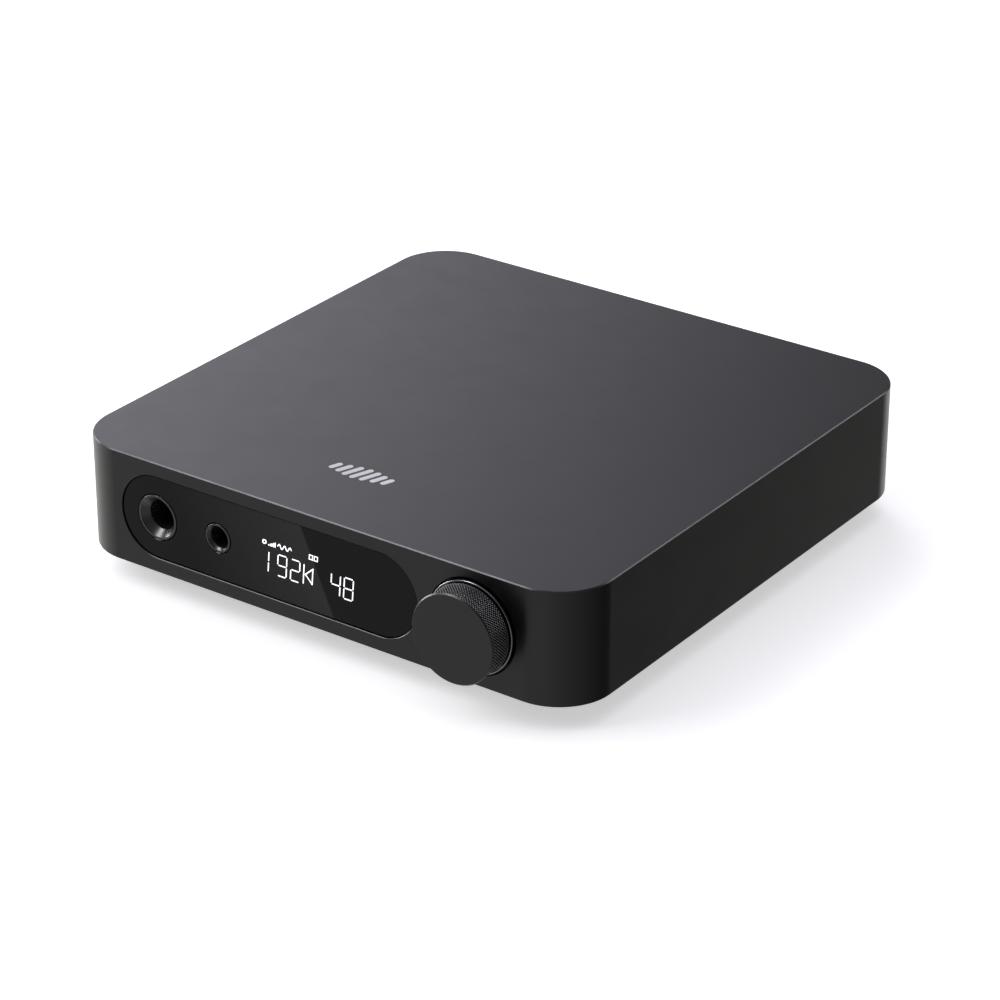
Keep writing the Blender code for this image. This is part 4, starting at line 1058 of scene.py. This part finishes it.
@dataclass
class Window:
    """The pill-shaped lens, the lit numerals on it, and the mark on the top face."""

    edge: float = 0.12 * MM
    hole_gap: float = 0.2 * MM
    line: float = 0.29 * MM
    digit_width: float = 2.35 * MM
    digit_height: float = 5.05 * MM
    slant: float = 0.085
    digits_z: float = 11.85 * MM
    legend_z: float = 16.35 * MM
    proud: float = 0.02 * MM
    ink: float = 0.012 * MM

    def build(self) -> None:
        """Make the lens, its numerals and legends, and the printed mark."""
        self.build_lens()
        self.build_numerals()
        self.build_mark()

    def build_lens(self) -> None:
        """Lens: a pill-shaped plate with a fine round rim and a hole for each jack's nose."""
        box = NodeBox("front_window")
        levels = [(0.0, -box.high.y), *fillet(0.0, -box.low.y, self.edge, True, 4)]
        lens = offset_loft("window_lens", stadium(box.half.x, box.half.z, 64), levels,
                           Facing.FRONT, box.across(Facing.FRONT))
        front = -box.low.y
        holes = []
        for jack in (LARGE_JACK, SMALL_JACK):
            radius = jack.nose + self.hole_gap
            holes.append(revolve(f"{jack.name}_hole", (
                (0.0, front + 1.0 * MM), (radius + 0.1 * MM, front + 1.0 * MM),
                (radius + 0.1 * MM, front), (radius, front - 0.1 * MM),
                (radius, front - 3.0 * MM), (0.0, front - 3.0 * MM)), Facing.FRONT,
                NodeBox(jack.name).across(Facing.FRONT), steps=96))
        carve(lens, holes)
        settle(lens, "enclosure", LENS, ["front_window"])

    def bar(self, name: str, start: Sequence[float], end: Sequence[float], origin: Sequence[float],
            width: float | None = None) -> bpy.types.Object:
        """One lit bar: a round-ended stroke, leaned to the right by the slant, just proud.

        Args:
            name: the bar's name.
            start: one end, from the glyph's lower left corner.
            end: the other end.
            origin: the glyph's lower left corner in the frame, as (x, z).
            width: the bar's width; None takes the display's own.

        Returns:
            The bar as a thin solid.
        """
        front = -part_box("front_window")[0].y
        leaned = [(u + self.slant * v + origin[0], v + origin[1]) for u, v in (start, end)]
        outline = stroke(leaned[0], leaned[1], width or self.line)
        return prism(name, outline, front - self.proud, front + self.proud, Facing.FRONT)

    def digit(self, label: str, origin: Sequence[float]) -> list[bpy.types.Object]:
        """The lit segments of one seven-segment numeral.

        Args:
            label: the numeral.
            origin: its lower left corner in the frame, as (x, z).

        Returns:
            Its lit bars.
        """
        w, h, gap = self.digit_width, self.digit_height, 0.30 * MM
        half = h / 2
        ends = {
            "a": ((gap, h), (w - gap, h)), "g": ((gap, half), (w - gap, half)),
            "d": ((gap, 0.0), (w - gap, 0.0)), "f": ((0.0, half + gap), (0.0, h - gap)),
            "e": ((0.0, gap), (0.0, half - gap)), "b": ((w, half + gap), (w, h - gap)),
            "c": ((w, gap), (w, half - gap)),
        }
        lit = {"1": "bc", "2": "abged", "4": "fgbc", "8": "abcdefg", "9": "abcdfg"}[label]
        return [self.bar(f"{label}_{key}", *ends[key], origin) for key in lit]

    def build_numerals(self) -> None:
        """Numerals for a sample rate and a level, with plain icons instead of any words."""
        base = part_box("body_shell")[0].z
        low = base + self.digits_z - self.digit_height / 2
        bars = []
        for label, x in (("1", -14.35), ("9", -9.55), ("2", -6.05), ("4", 4.62), ("8", 8.0)):
            bars += self.digit(label, (x * MM, low))
        bars += self.pointer((-2.62 * MM, low))
        bars += self.legends(base + self.legend_z)
        settle(merged("display_numerals", bars), "enclosure", SEGMENT)

    def pointer(self, origin: Sequence[float]) -> list[bpy.types.Object]:
        """A skip-back icon: an upright bar and a triangle that points at it.

        Args:
            origin: its lower left corner in the frame, as (x, z).

        Returns:
            Its lit bars.
        """
        w, h = self.digit_width, self.digit_height
        tip, top, low = (0.45 * MM, h / 2), (w, 0.86 * h), (w, 0.14 * h)
        return [self.bar("pointer_post", (0.0, 0.3 * MM), (0.0, h - 0.3 * MM), origin),
                self.bar("pointer_rise", tip, top, origin),
                self.bar("pointer_fall", tip, low, origin),
                self.bar("pointer_back", top, low, origin)]

    def legends(self, z: float) -> list[bpy.types.Object]:
        """The small row above the numerals: a ring, a level wedge, a wave and a link.

        Args:
            z: height of the row's middle.

        Returns:
            The row's lit bars.
        """
        thin = 0.24 * MM
        made = []
        ring = circle(0.45 * MM, 10)
        for number, (start, end) in enumerate(zip(ring, np.roll(ring, -1, axis=0))):
            made.append(self.bar(f"ring_{number}", tuple(start), tuple(end), (-12.75 * MM, z), thin))
        for number in range(5):
            x = (-11.55 + 0.42 * number) * MM
            made.append(self.bar(f"level_{number}", (0.0, -0.5 * MM),
                                 (0.0, (-0.42 + 0.22 * number) * MM), (x, z), 0.30 * MM))
        steps = np.linspace(0.0, 1.0, 25)
        wave = np.stack((3.6 * MM * steps, 0.48 * MM * np.sin(steps * 5 * math.pi)), axis=1)
        for number, (start, end) in enumerate(zip(wave, wave[1:])):
            made.append(self.bar(f"wave_{number}", tuple(start), tuple(end), (-9.15 * MM, z), thin))
        box = np.array([(-0.42, -0.5), (0.42, -0.5), (0.42, 0.5), (-0.42, 0.5)]) * MM
        for side, x in (("near", -0.35), ("far", 0.95)):
            for number, (start, end) in enumerate(zip(box, np.roll(box, -1, axis=0))):
                made.append(self.bar(f"link_{side}_{number}", tuple(start), tuple(end),
                                     (x * MM, z), thin))
        return made

    def build_mark(self) -> None:
        """Printed mark on the top: slanted bars whose lengths rise and fall like a wave."""
        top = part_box("body_shell")[1].z
        bars = []
        count = 7
        for number in range(count):
            share = (number + 0.5) / count
            reach = (0.9 + 1.3 * math.sin(math.pi * share) ** 2) * MM
            x = (-3.2 + (share - 0.5) * 16.0) * MM
            lean = 0.35 * reach
            y = -45.1 * MM
            outline = stroke((x - lean, y - reach), (x + lean, y + reach), 1.35 * MM, 8)
            bars.append(prism(f"mark_{number}", outline, top - self.proud, top + self.ink, Facing.UP))
        settle(merged("top_mark", bars), "enclosure", PRINT)


@dataclass
class Knob:
    """The volume knob: a turned cap with a diamond knurl cut into its band, and a bright ring."""

    face_radius: float = 9.90 * MM
    hollow: float = 7.2 * MM
    bevel: float = 0.26 * MM
    ring_top: float = 0.75 * MM
    ring_radius: float = 10.5 * MM
    ring_back: float = 0.2 * MM
    foot_gap: float = 0.32 * MM
    band_inset: float = 0.52 * MM
    ring_lip: float = 10.08 * MM
    ring_groove: float = 0.9 * MM
    diamonds: int = 90
    samples: int = 6
    rows: int = 58
    depth: float = 0.24 * MM

    def build(self) -> None:
        """Make the cap and the ring round its foot."""
        box = NodeBox("volume_knob")
        panel = -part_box("body_shell")[0].y
        self.build_cap(box, panel)
        self.build_ring(box, panel)

    def cap_profile(self, box: NodeBox, panel: float) -> tuple[np.ndarray, slice]:
        """Rings of the cap from the middle of its face to the inside, and which are the band's.

        Args:
            box: the frame's knob.
            panel: how far forward the case's front lies.

        Returns:
            (radius, height) rows, and the slice of them that is knurled.
        """
        face, back, radius = -box.low.y, -box.high.y, self.band_radius(box)
        top, low = face - self.bevel, panel + self.ring_top
        rim = [(0.0, face), (0.5 * self.face_radius, face), (self.face_radius, face),
               (self.face_radius + self.bevel, top), (radius, top - 0.05 * MM)]
        band = [(radius, float(h))
                for h in np.linspace(top - 0.08 * MM, low + self.foot_gap + 0.04 * MM, self.rows)]
        foot = radius - 0.3 * MM
        tail = [(foot, low + self.foot_gap), (foot, back), (self.hollow, back),
                (self.hollow, face - 2.0 * MM), (0.0, face - 2.0 * MM)]
        return np.array([*rim, *band, *tail]), slice(len(rim), len(rim) + self.rows)

    def band_radius(self, box: NodeBox) -> float:
        """Radius of the knurled band, which lies a little inside the ring at the knob's foot."""
        return box.half.x - self.band_inset

    def build_cap(self, box: NodeBox, panel: float) -> None:
        """Cap: profile rings round the axis, with the band's radius lowered by the knurl.

        Two families of helical grooves cross: each is a triangle wave of the angle plus or minus
        the height, and the surface follows the deeper groove, which leaves square pyramids. The
        grooves run out to the plain band's radius at both ends.

        Args:
            box: the frame's knob.
            panel: how far forward the case's front lies.
        """
        profile, knurled = self.cap_profile(box, panel)
        angle = np.linspace(0.0, 2 * math.pi, self.diamonds * self.samples, endpoint=False)
        turn = angle[None] * self.diamonds / (2 * math.pi)
        pitch = 2 * math.pi * self.band_radius(box) / self.diamonds
        rise = profile[:, 1, None] / pitch
        groove = np.maximum(np.abs((turn + rise) % 1.0 - 0.5), np.abs((turn - rise) % 1.0 - 0.5))
        share = np.zeros(len(profile))
        steps = np.arange(self.rows)
        share[knurled] = np.clip(np.minimum(steps, steps[::-1]) / 2.0, 0.0, 1.0)
        lowered = profile[:, 0, None] - self.depth * 2 * groove * share[:, None]
        centre = box.across(Facing.FRONT)
        height = np.broadcast_to(profile[:, 1, None], lowered.shape)
        points = Facing.FRONT.place(lowered * np.cos(angle) + centre[0],
                                    lowered * np.sin(angle) + centre[1], height)
        cap = link("knob_cap", mesh_of("knob_cap", points))
        settle(cap, "knob", KNOB, ["volume_knob"], angle=40.0)
        # painted sheen: the knurl's cut faces take a much lighter copy of the knob's finish, standing in for
        # glints
        cap.data.materials.append(KNURL_PAINTED_SHEEN.material())
        cap.data.materials.append(GROOVE_PAINTED_SHADE.material())
        middles = np.empty(3 * len(cap.data.polygons))
        cap.data.polygons.foreach_get("center", middles)
        across, forward, up = (middles.reshape(-1, 3) - (centre[0], 0.0, centre[1])).T
        off_axis = np.hypot(across, up)
        cut = (off_axis > self.hollow + 1.0 * MM) & (-forward < profile[knurled][0, 1])
        # painted shade: faces deep in the grooves and at the band's foot by the ring take the darker copy
        foot = -forward < panel + self.ring_top + self.foot_gap + 0.25 * MM
        low = cut & (foot | (off_axis < self.band_radius(box) - 0.45 * self.depth))
        cap.data.polygons.foreach_set("material_index", cut.astype(np.int32) + low)

    def build_ring(self, box: NodeBox, panel: float) -> None:
        """Ring: a thin lip with a quarter-round front edge, and a groove between it and the cap.

        Args:
            box: the frame's knob.
            panel: how far forward the case's front lies.
        """
        inner = self.band_radius(box) - 0.27 * MM
        top, back = panel + self.ring_top, -box.high.y + self.ring_back
        outer = self.ring_radius
        edge = fillet(outer, top, 0.22 * MM, True, 5)[::-1]
        floor = top - self.ring_groove
        ring = revolve("knob_ring", ((inner, floor), (self.ring_lip, floor),
                                     (self.ring_lip, top - 0.05 * MM),
                                     (self.ring_lip + 0.05 * MM, top), *edge,
                                     (outer, back + 0.1 * MM),
                                     (outer - 0.1 * MM, back), (inner, back)),
                       Facing.FRONT, box.across(Facing.FRONT), steps=160)
        settle(ring, "knob", RING, angle=50.0)


@dataclass
class RearSockets:
    """The rear panel and everything that shows in it."""

    panel_corner: float = 2.0 * MM
    hole_gap: float = 0.3 * MM
    rca: tuple[tuple[str, Finish, str], ...] = (
        ("rca_right", RED_CORE, "red_core"), ("rca_left", WHITE_CORE, "white_core"),
        ("coax", ORANGE_CORE, "orange_core"))

    def build(self) -> None:
        """Make the panel and each socket."""
        self.build_panel()
        for name, finish, slot in self.rca:
            self.build_phono(name, finish)
        self.build_optical()
        self.build_usb()
        self.build_power()

    def build_panel(self) -> None:
        """Panel: a plate with round rims, and a hole that follows each socket's own outline."""
        box = NodeBox("rear_panel")
        outline = rounded_rectangle(box.half.x, box.half.z, self.panel_corner, 12)
        panel = offset_loft("back_plate", outline, slab_levels(box.low.y, box.high.y, 0.2 * MM),
                            Facing.BACK, box.across(Facing.BACK), arc_normals(outline, 12))
        gap = self.hole_gap
        outlines = {}
        for name, _, _ in self.rca:
            outlines[f"{name}_shell"] = circle(NodeBox(f"{name}_shell").half.x + gap, 64)
        outlines.update((name, circle(1.4 * MM, 32)) for name in REAR_SCREWS)
        optical, port = NodeBox("optical_housing").half, NodeBox("usb_c_shell").half
        outlines["optical_housing"] = rounded_rectangle(optical.x + gap, optical.z + gap, 0.4 * MM, 4)
        outlines["usb_c_shell"] = stadium(port.x + gap, port.z + gap, 16)
        outlines["dc_jack_pin"] = circle(4.5 * MM, 64)
        carve(panel, [prism(f"{node}_hole", shape, box.low.y - 1.0 * MM, box.high.y + 1.0 * MM,
                            Facing.BACK, NodeBox(node).across(Facing.BACK))
                      for node, shape in outlines.items()])
        settle(panel, "enclosure", BLACK_STEEL, ["rear_panel"])

    def build_phono(self, name: str, finish: Finish) -> None:
        """Phono socket: a turned collar with a grooved rim, its core, and the centre contact.

        Args:
            name: the socket's name, which starts the names of its nodes.
            finish: what the core is made of.
        """
        collar = NodeBox(f"{name}_shell")
        place = collar.across(Facing.BACK)
        low, high, radius = collar.low.y, collar.high.y, collar.half.x
        inner = 3.55 * MM
        ring = revolve(f"{name}_collar", (
            (inner + 0.12 * MM, high), (radius - 0.35 * MM, high), (radius - 0.08 * MM, high - 0.1 * MM),
            (radius, high - 0.35 * MM), (radius, low + 2.9 * MM), (radius - 0.12 * MM, low + 2.8 * MM),
            (radius - 0.12 * MM, low + 2.5 * MM), (radius, low + 2.4 * MM), (radius, low),
            (inner, low), (inner, high - 0.12 * MM)), Facing.BACK, place)
        settle(ring, "enclosure", GOLD, [f"{name}_shell"])
        core = NodeBox(f"{name}_core")
        r, top, base = core.half.x, core.high.y, core.low.y
        plug = revolve(f"{name}_insert", (
            (1.75 * MM, top), (r - 0.25 * MM, top), (r, top - 0.25 * MM), (r, base),
            (1.6 * MM, base), (1.6 * MM, top - 0.15 * MM)), Facing.BACK, place, steps=72)
        settle(plug, "enclosure", finish, [f"{name}_core"])
        contact = revolve(f"{name}_contact", (
            (1.3 * MM, top - 0.7 * MM), (1.5 * MM, top - 0.7 * MM), (1.5 * MM, base + 0.3 * MM),
            (1.15 * MM, base + 0.3 * MM), (1.15 * MM, top - 0.9 * MM)), Facing.BACK, place, steps=48)
        settle(contact, "enclosure", GOLD)

    def build_optical(self) -> None:
        """Optical socket: a box with a stepped mouth, and its ribbed flap."""
        box = NodeBox("optical_housing")
        place = box.across(Facing.BACK)
        housing = offset_loft("optical_moulding",
                              rounded_rectangle(box.half.x, box.half.z, 0.5 * MM, 6),
                              slab_levels(box.low.y, box.high.y, 0.25 * MM), Facing.BACK, place)
        mouth = 4.3 * MM
        throat = offset_loft("optical_throat", rounded_rectangle(mouth, mouth, 0.3 * MM, 4),
                             ((0.0, box.high.y - 11.5 * MM), (0.0, box.high.y - 0.5 * MM),
                              (0.35 * MM, box.high.y), (0.35 * MM, box.high.y + 1.0 * MM)),
                             Facing.BACK, place)
        carve(housing, [throat])
        settle(housing, "enclosure", MOULDED, ["optical_housing"])
        flap = NodeBox("optical_shutter")
        plate = offset_loft("optical_flap", rounded_rectangle(flap.half.x, flap.half.z, 0.4 * MM, 6),
                            slab_levels(flap.low.y, flap.high.y - 0.12 * MM, 0.12 * MM),
                            Facing.BACK, flap.across(Facing.BACK))
        ribs = [prism(f"flap_rib_{number}", rounded_rectangle(2.6 * MM, 0.22 * MM, 0.1 * MM, 3),
                      flap.high.y - 0.4 * MM, flap.high.y, Facing.BACK,
                      (flap.middle.x, flap.middle.z + (number - 1) * 1.3 * MM))
                for number in range(3)]
        carve(plate, ribs, Carve.ADD)
        settle(plate, "flap", GREY, ["optical_shutter"])

    def build_usb(self) -> None:
        """Data port: a drawn oval sleeve with a rolled mouth, and a tongue with its contacts."""
        box = NodeBox("usb_c_shell")
        place = box.across(Facing.BACK)
        outline = stadium(box.half.x, box.half.z, 20)
        sleeve = offset_loft("port_sleeve", outline,
                             ((0.0, box.low.y), *fillet(0.0, box.high.y, 0.15 * MM, True, 3)),
                             Facing.BACK, place)
        inner = stadium(box.half.x - 0.35 * MM, box.half.z - 0.35 * MM, 20)
        hollow = offset_loft("port_hollow", inner,
                             ((0.0, box.low.y + 0.8 * MM), (0.0, box.high.y - 0.1 * MM),
                              (0.1 * MM, box.high.y), (0.1 * MM, box.high.y + 1.0 * MM)),
                             Facing.BACK, place)
        carve(sleeve, [hollow])
        settle(sleeve, "enclosure", STEEL, ["usb_c_shell"])
        tongue = NodeBox("usb_c_tongue")
        blade = offset_loft("port_tongue",
                            rounded_rectangle(tongue.half.x, tongue.half.z, 0.15 * MM, 3),
                            slab_levels(tongue.low.y, tongue.high.y, 0.1 * MM, 2), Facing.BACK,
                            place)
        settle(blade, "enclosure", MOULDED, ["usb_c_tongue"])
        pads = []
        for side in (-1, 1):
            for number in range(12):
                x = tongue.middle.x + (number - 5.5) * 0.5 * MM
                z = tongue.middle.z + side * tongue.half.z
                outline = rounded_rectangle(0.14 * MM, 0.03 * MM, 0.01 * MM, 1)
                pads.append(prism(f"pad_{side}_{number}", outline, tongue.low.y + 1.0 * MM,
                                  tongue.high.y - 0.5 * MM, Facing.BACK, (x, z)))
        settle(merged("port_contacts", pads), "enclosure", GOLD)

    def build_power(self) -> None:
        """Power jack: a box with a round nose and bore, and a centre pin with a domed tip."""
        box = NodeBox("dc_jack_housing")
        pin = NodeBox("dc_jack_pin")
        place = pin.across(Facing.BACK)
        panel = NodeBox("rear_panel")
        seat = panel.low.y - 0.3 * MM
        housing = offset_loft("power_moulding", rounded_rectangle(box.half.x, box.half.z, 0.5 * MM, 6),
                              slab_levels(box.low.y, seat, 0.25 * MM), Facing.BACK,
                              box.across(Facing.BACK))
        nose = offset_loft("power_nose", circle(4.2 * MM, 72),
                           ((0.0, seat - 1.0 * MM), *fillet(0.0, box.high.y, 0.2 * MM, True, 4)),
                           Facing.BACK, place)
        carve(housing, [nose], Carve.ADD)
        bore = revolve("power_bore", (
            (0.0, box.high.y + 1.0 * MM), (3.1 * MM, box.high.y + 1.0 * MM),
            (3.1 * MM, box.high.y), (2.9 * MM, box.high.y - 0.2 * MM),
            (2.9 * MM, box.high.y - 9.5 * MM), (0.0, box.high.y - 9.5 * MM)), Facing.BACK, place,
            steps=72)
        carve(housing, [bore])
        settle(housing, "enclosure", MOULDED, ["dc_jack_housing"])
        radius, tip, foot = pin.half.x, pin.high.y, pin.low.y
        dome = [(radius * math.sin(a), tip - radius * 0.7 * (1 - math.cos(a)))
                for a in np.linspace(0.0, math.pi / 2, 7)]
        post = revolve("power_pin", (*dome, (radius, foot), (0.0, foot)), Facing.BACK, place,
                       steps=40)
        settle(post, "enclosure", STEEL, ["dc_jack_pin"], angle=40.0)


# ------------------------------------------------------------------ frame nodes and studio

def dress_nodes(nodes: dict[str, bpy.types.Object], record: dict) -> None:
    """Give every node that the frame itself shows the finish of its slot.

    Args:
        nodes: the frame's nodes by name.
        record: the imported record, whose subparts name each node's slot.
    """
    slots = {part["node"]: part["material_slot"] for part in record["subparts"]}
    for name, node in nodes.items():
        finish = SLOT_FINISHES[slots[name]]
        node.data.materials.clear()
        node.data.materials.append(finish.material())


@dataclass
class Studio:
    """Pale floor, soft lights and the camera."""

    camera_place: tuple[float, float, float] = (0.40693, -0.57172, 0.36079)
    camera_turn: tuple[float, float, float] = (63.351, -0.092, 35.443)
    lens: float = 126.6
    floor_size: float = 8.0
    light_distance: float = 1.4
    floor_colour: tuple[float, float, float] = (0.93, 0.93, 0.935)
    floor_glow: float = 0.50
    cap_light: float = 1.10
    tint: tuple[float, float, float] = (0.99, 0.97, 1.06)
    low_tint: tuple[float, float, float] = (1.01, 1.01, 0.97)
    below: Levels = ((-180, 1.35), (-145, 1.22), (-131, 0.75), (-86, 0.86), (-62, 0.66),
                     (0, 0.32), (50, 0.03), (65, 0.04), (77, 1.20), (110, 0.90), (180, 1.35))
    above: Levels = ((-180, 0.40), (-100, 0.26), (92, 0.22), (110, 0.08), (117, 0.16),
                     (123, 0.78), (139, 2.85), (156, 2.20), (175, 0.40), (180, 0.40))

    def build(self) -> None:
        """Set the floor, the lights, the world and the camera."""
        self.build_floor()
        self.build_world()
        self.build_lights()
        self.build_camera()

    def build_floor(self) -> None:
        """A pale matt sheet that the object stands on; mirror rays pass it and meet the world."""
        half = self.floor_size / 2
        mesh = bpy.data.meshes.new("floor")
        mesh.from_pydata([(-half, -half, 0.0), (half, -half, 0.0), (half, half, 0.0),
                          (-half, half, 0.0)], [], [(0, 1, 2, 3)])
        floor = link("floor", mesh)
        floor.visible_glossy = False
        graph = Graph("floor_sheet")
        graph.set(Base_Color=(*self.floor_colour, 1.0), Roughness=0.9, Specular_IOR_Level=0.0,
                  Emission_Color=(1.0, 1.0, 1.0, 1.0), Emission_Strength=self.floor_glow)
        mesh.materials.append(graph.material)

    def build_world(self) -> None:
        """Soft light from all round: its brightness goes by the compass, above and below.

        Straight up and straight down it is even, whatever the compass says.
        """
        world = bpy.data.worlds.new("studio")
        bpy.context.scene.world = world
        world.use_nodes = True
        tree = world.node_tree
        split = tree.nodes.new("ShaderNodeSeparateXYZ")
        coordinates = tree.nodes.new("ShaderNodeTexCoord")
        tree.links.new(coordinates.outputs["Generated"], split.inputs["Vector"])
        heading = tree.nodes.new("ShaderNodeMath")
        heading.operation = "ARCTAN2"
        tree.links.new(split.outputs["Y"], heading.inputs[0])
        tree.links.new(split.outputs["X"], heading.inputs[1])
        turn = tree.nodes.new("ShaderNodeMapRange")
        turn.inputs["From Min"].default_value = -math.pi
        turn.inputs["From Max"].default_value = math.pi
        tree.links.new(heading.outputs["Value"], turn.inputs["Value"])
        horizon = tree.nodes.new("ShaderNodeMapRange")
        horizon.inputs["From Min"].default_value = -0.04
        horizon.inputs["From Max"].default_value = 0.04
        tree.links.new(split.outputs["Z"], horizon.inputs["Value"])
        mix = tree.nodes.new("ShaderNodeMix")
        mix.data_type = "RGBA"
        tree.links.new(horizon.outputs["Result"], mix.inputs["Factor"])
        for socket, stops, tint in (("A", self.below, self.low_tint), ("B", self.above, self.tint)):
            ramp = tree.nodes.new("ShaderNodeValToRGB")
            marks = ramp.color_ramp.elements
            while len(marks) < len(stops):
                marks.new(0.5)
            for mark, (degrees, light) in zip(marks, stops):
                mark.position = (degrees + 180) / 360
                mark.color = (*(light * c for c in tint), 1.0)
            tree.links.new(turn.outputs["Result"], ramp.inputs["Fac"])
            tree.links.new(ramp.outputs["Color"], mix.inputs[socket])
        steep = tree.nodes.new("ShaderNodeMath")
        steep.operation = "ABSOLUTE"
        tree.links.new(split.outputs["Z"], steep.inputs[0])
        cap = tree.nodes.new("ShaderNodeMapRange")
        cap.inputs["From Min"].default_value = 0.78
        cap.inputs["From Max"].default_value = 0.94
        tree.links.new(steep.outputs["Value"], cap.inputs["Value"])
        top = tree.nodes.new("ShaderNodeMix")
        top.data_type = "RGBA"
        top.inputs["B"].default_value = (*(self.cap_light * c for c in self.tint), 1.0)
        tree.links.new(cap.outputs["Result"], top.inputs["Factor"])
        tree.links.new(mix.outputs["Result"], top.inputs["A"])
        tree.links.new(top.outputs["Result"], tree.nodes["Background"].inputs["Color"])

    def panel(self, name: str, heading: float, height: float, size: float, radiance: float,
              sheen: bool) -> None:
        """A square soft light that faces the object.

        Args:
            name: the light's name.
            heading: its compass direction in degrees, from +X towards +Y.
            height: its angle above the floor in degrees.
            size: its width and height.
            radiance: its brightness, where the floor's white is about 1.
            sheen: True for a light that only mirrors in surfaces, False for one that only
                lights matt ones.
        """
        data = bpy.data.lights.new(name, "AREA")
        data.shape = "SQUARE"
        data.size = size
        data.energy = radiance * math.pi * size ** 2
        light = bpy.data.objects.new(name, data)
        light.visible_diffuse = not sheen
        light.visible_glossy = sheen
        bpy.context.scene.collection.objects.link(light)
        turn, rise = math.radians(heading), math.radians(height)
        light.location = self.light_distance * Vector((
            math.cos(rise) * math.cos(turn), math.cos(rise) * math.sin(turn), math.sin(rise)))
        light.rotation_euler = light.location.to_track_quat("Z", "Y").to_euler()

    def build_lights(self) -> None:
        """Three lights that draw the edges, and one that lights the floor from the front left."""
        self.panel("front_edge_light", 221.0, 46.5, 0.50, 17.0, sheen=True)
        self.panel("right_edge_light", 58.0, 31.0, 0.50, 7.0, sheen=True)
        self.panel("left_edge_light", 187.0, 9.0, 0.50, 18.0, sheen=True)
        self.panel("fill_light", 222.0, 42.0, 0.80, 3.4, sheen=False)

    def build_camera(self) -> None:
        """The camera, high at the front right."""
        data = bpy.data.cameras.new("camera")
        data.lens = self.lens
        data.sensor_width = 36.0
        data.clip_start = 0.01
        camera = bpy.data.objects.new("camera", data)
        camera.location = self.camera_place
        camera.rotation_euler = Euler([math.radians(a) for a in self.camera_turn], "XYZ")
        bpy.context.scene.collection.objects.link(camera)
        bpy.context.scene.camera = camera
        bpy.context.scene.view_settings.view_transform = "Standard"


def main() -> None:
    """Load the frame, build every sub-assembly in order and set the studio."""
    logging.basicConfig(level=logging.INFO, format="%(name)s: %(message)s")
    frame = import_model()
    dress_nodes(frame["nodes"], frame["record"])
    for assembly in (Case(), LARGE_JACK, SMALL_JACK, Window(), Knob(), RearSockets()):
        LOG.info("building %s", type(assembly).__name__)
        assembly.build()
    Studio().build()


if __name__ == "__main__":
    main()
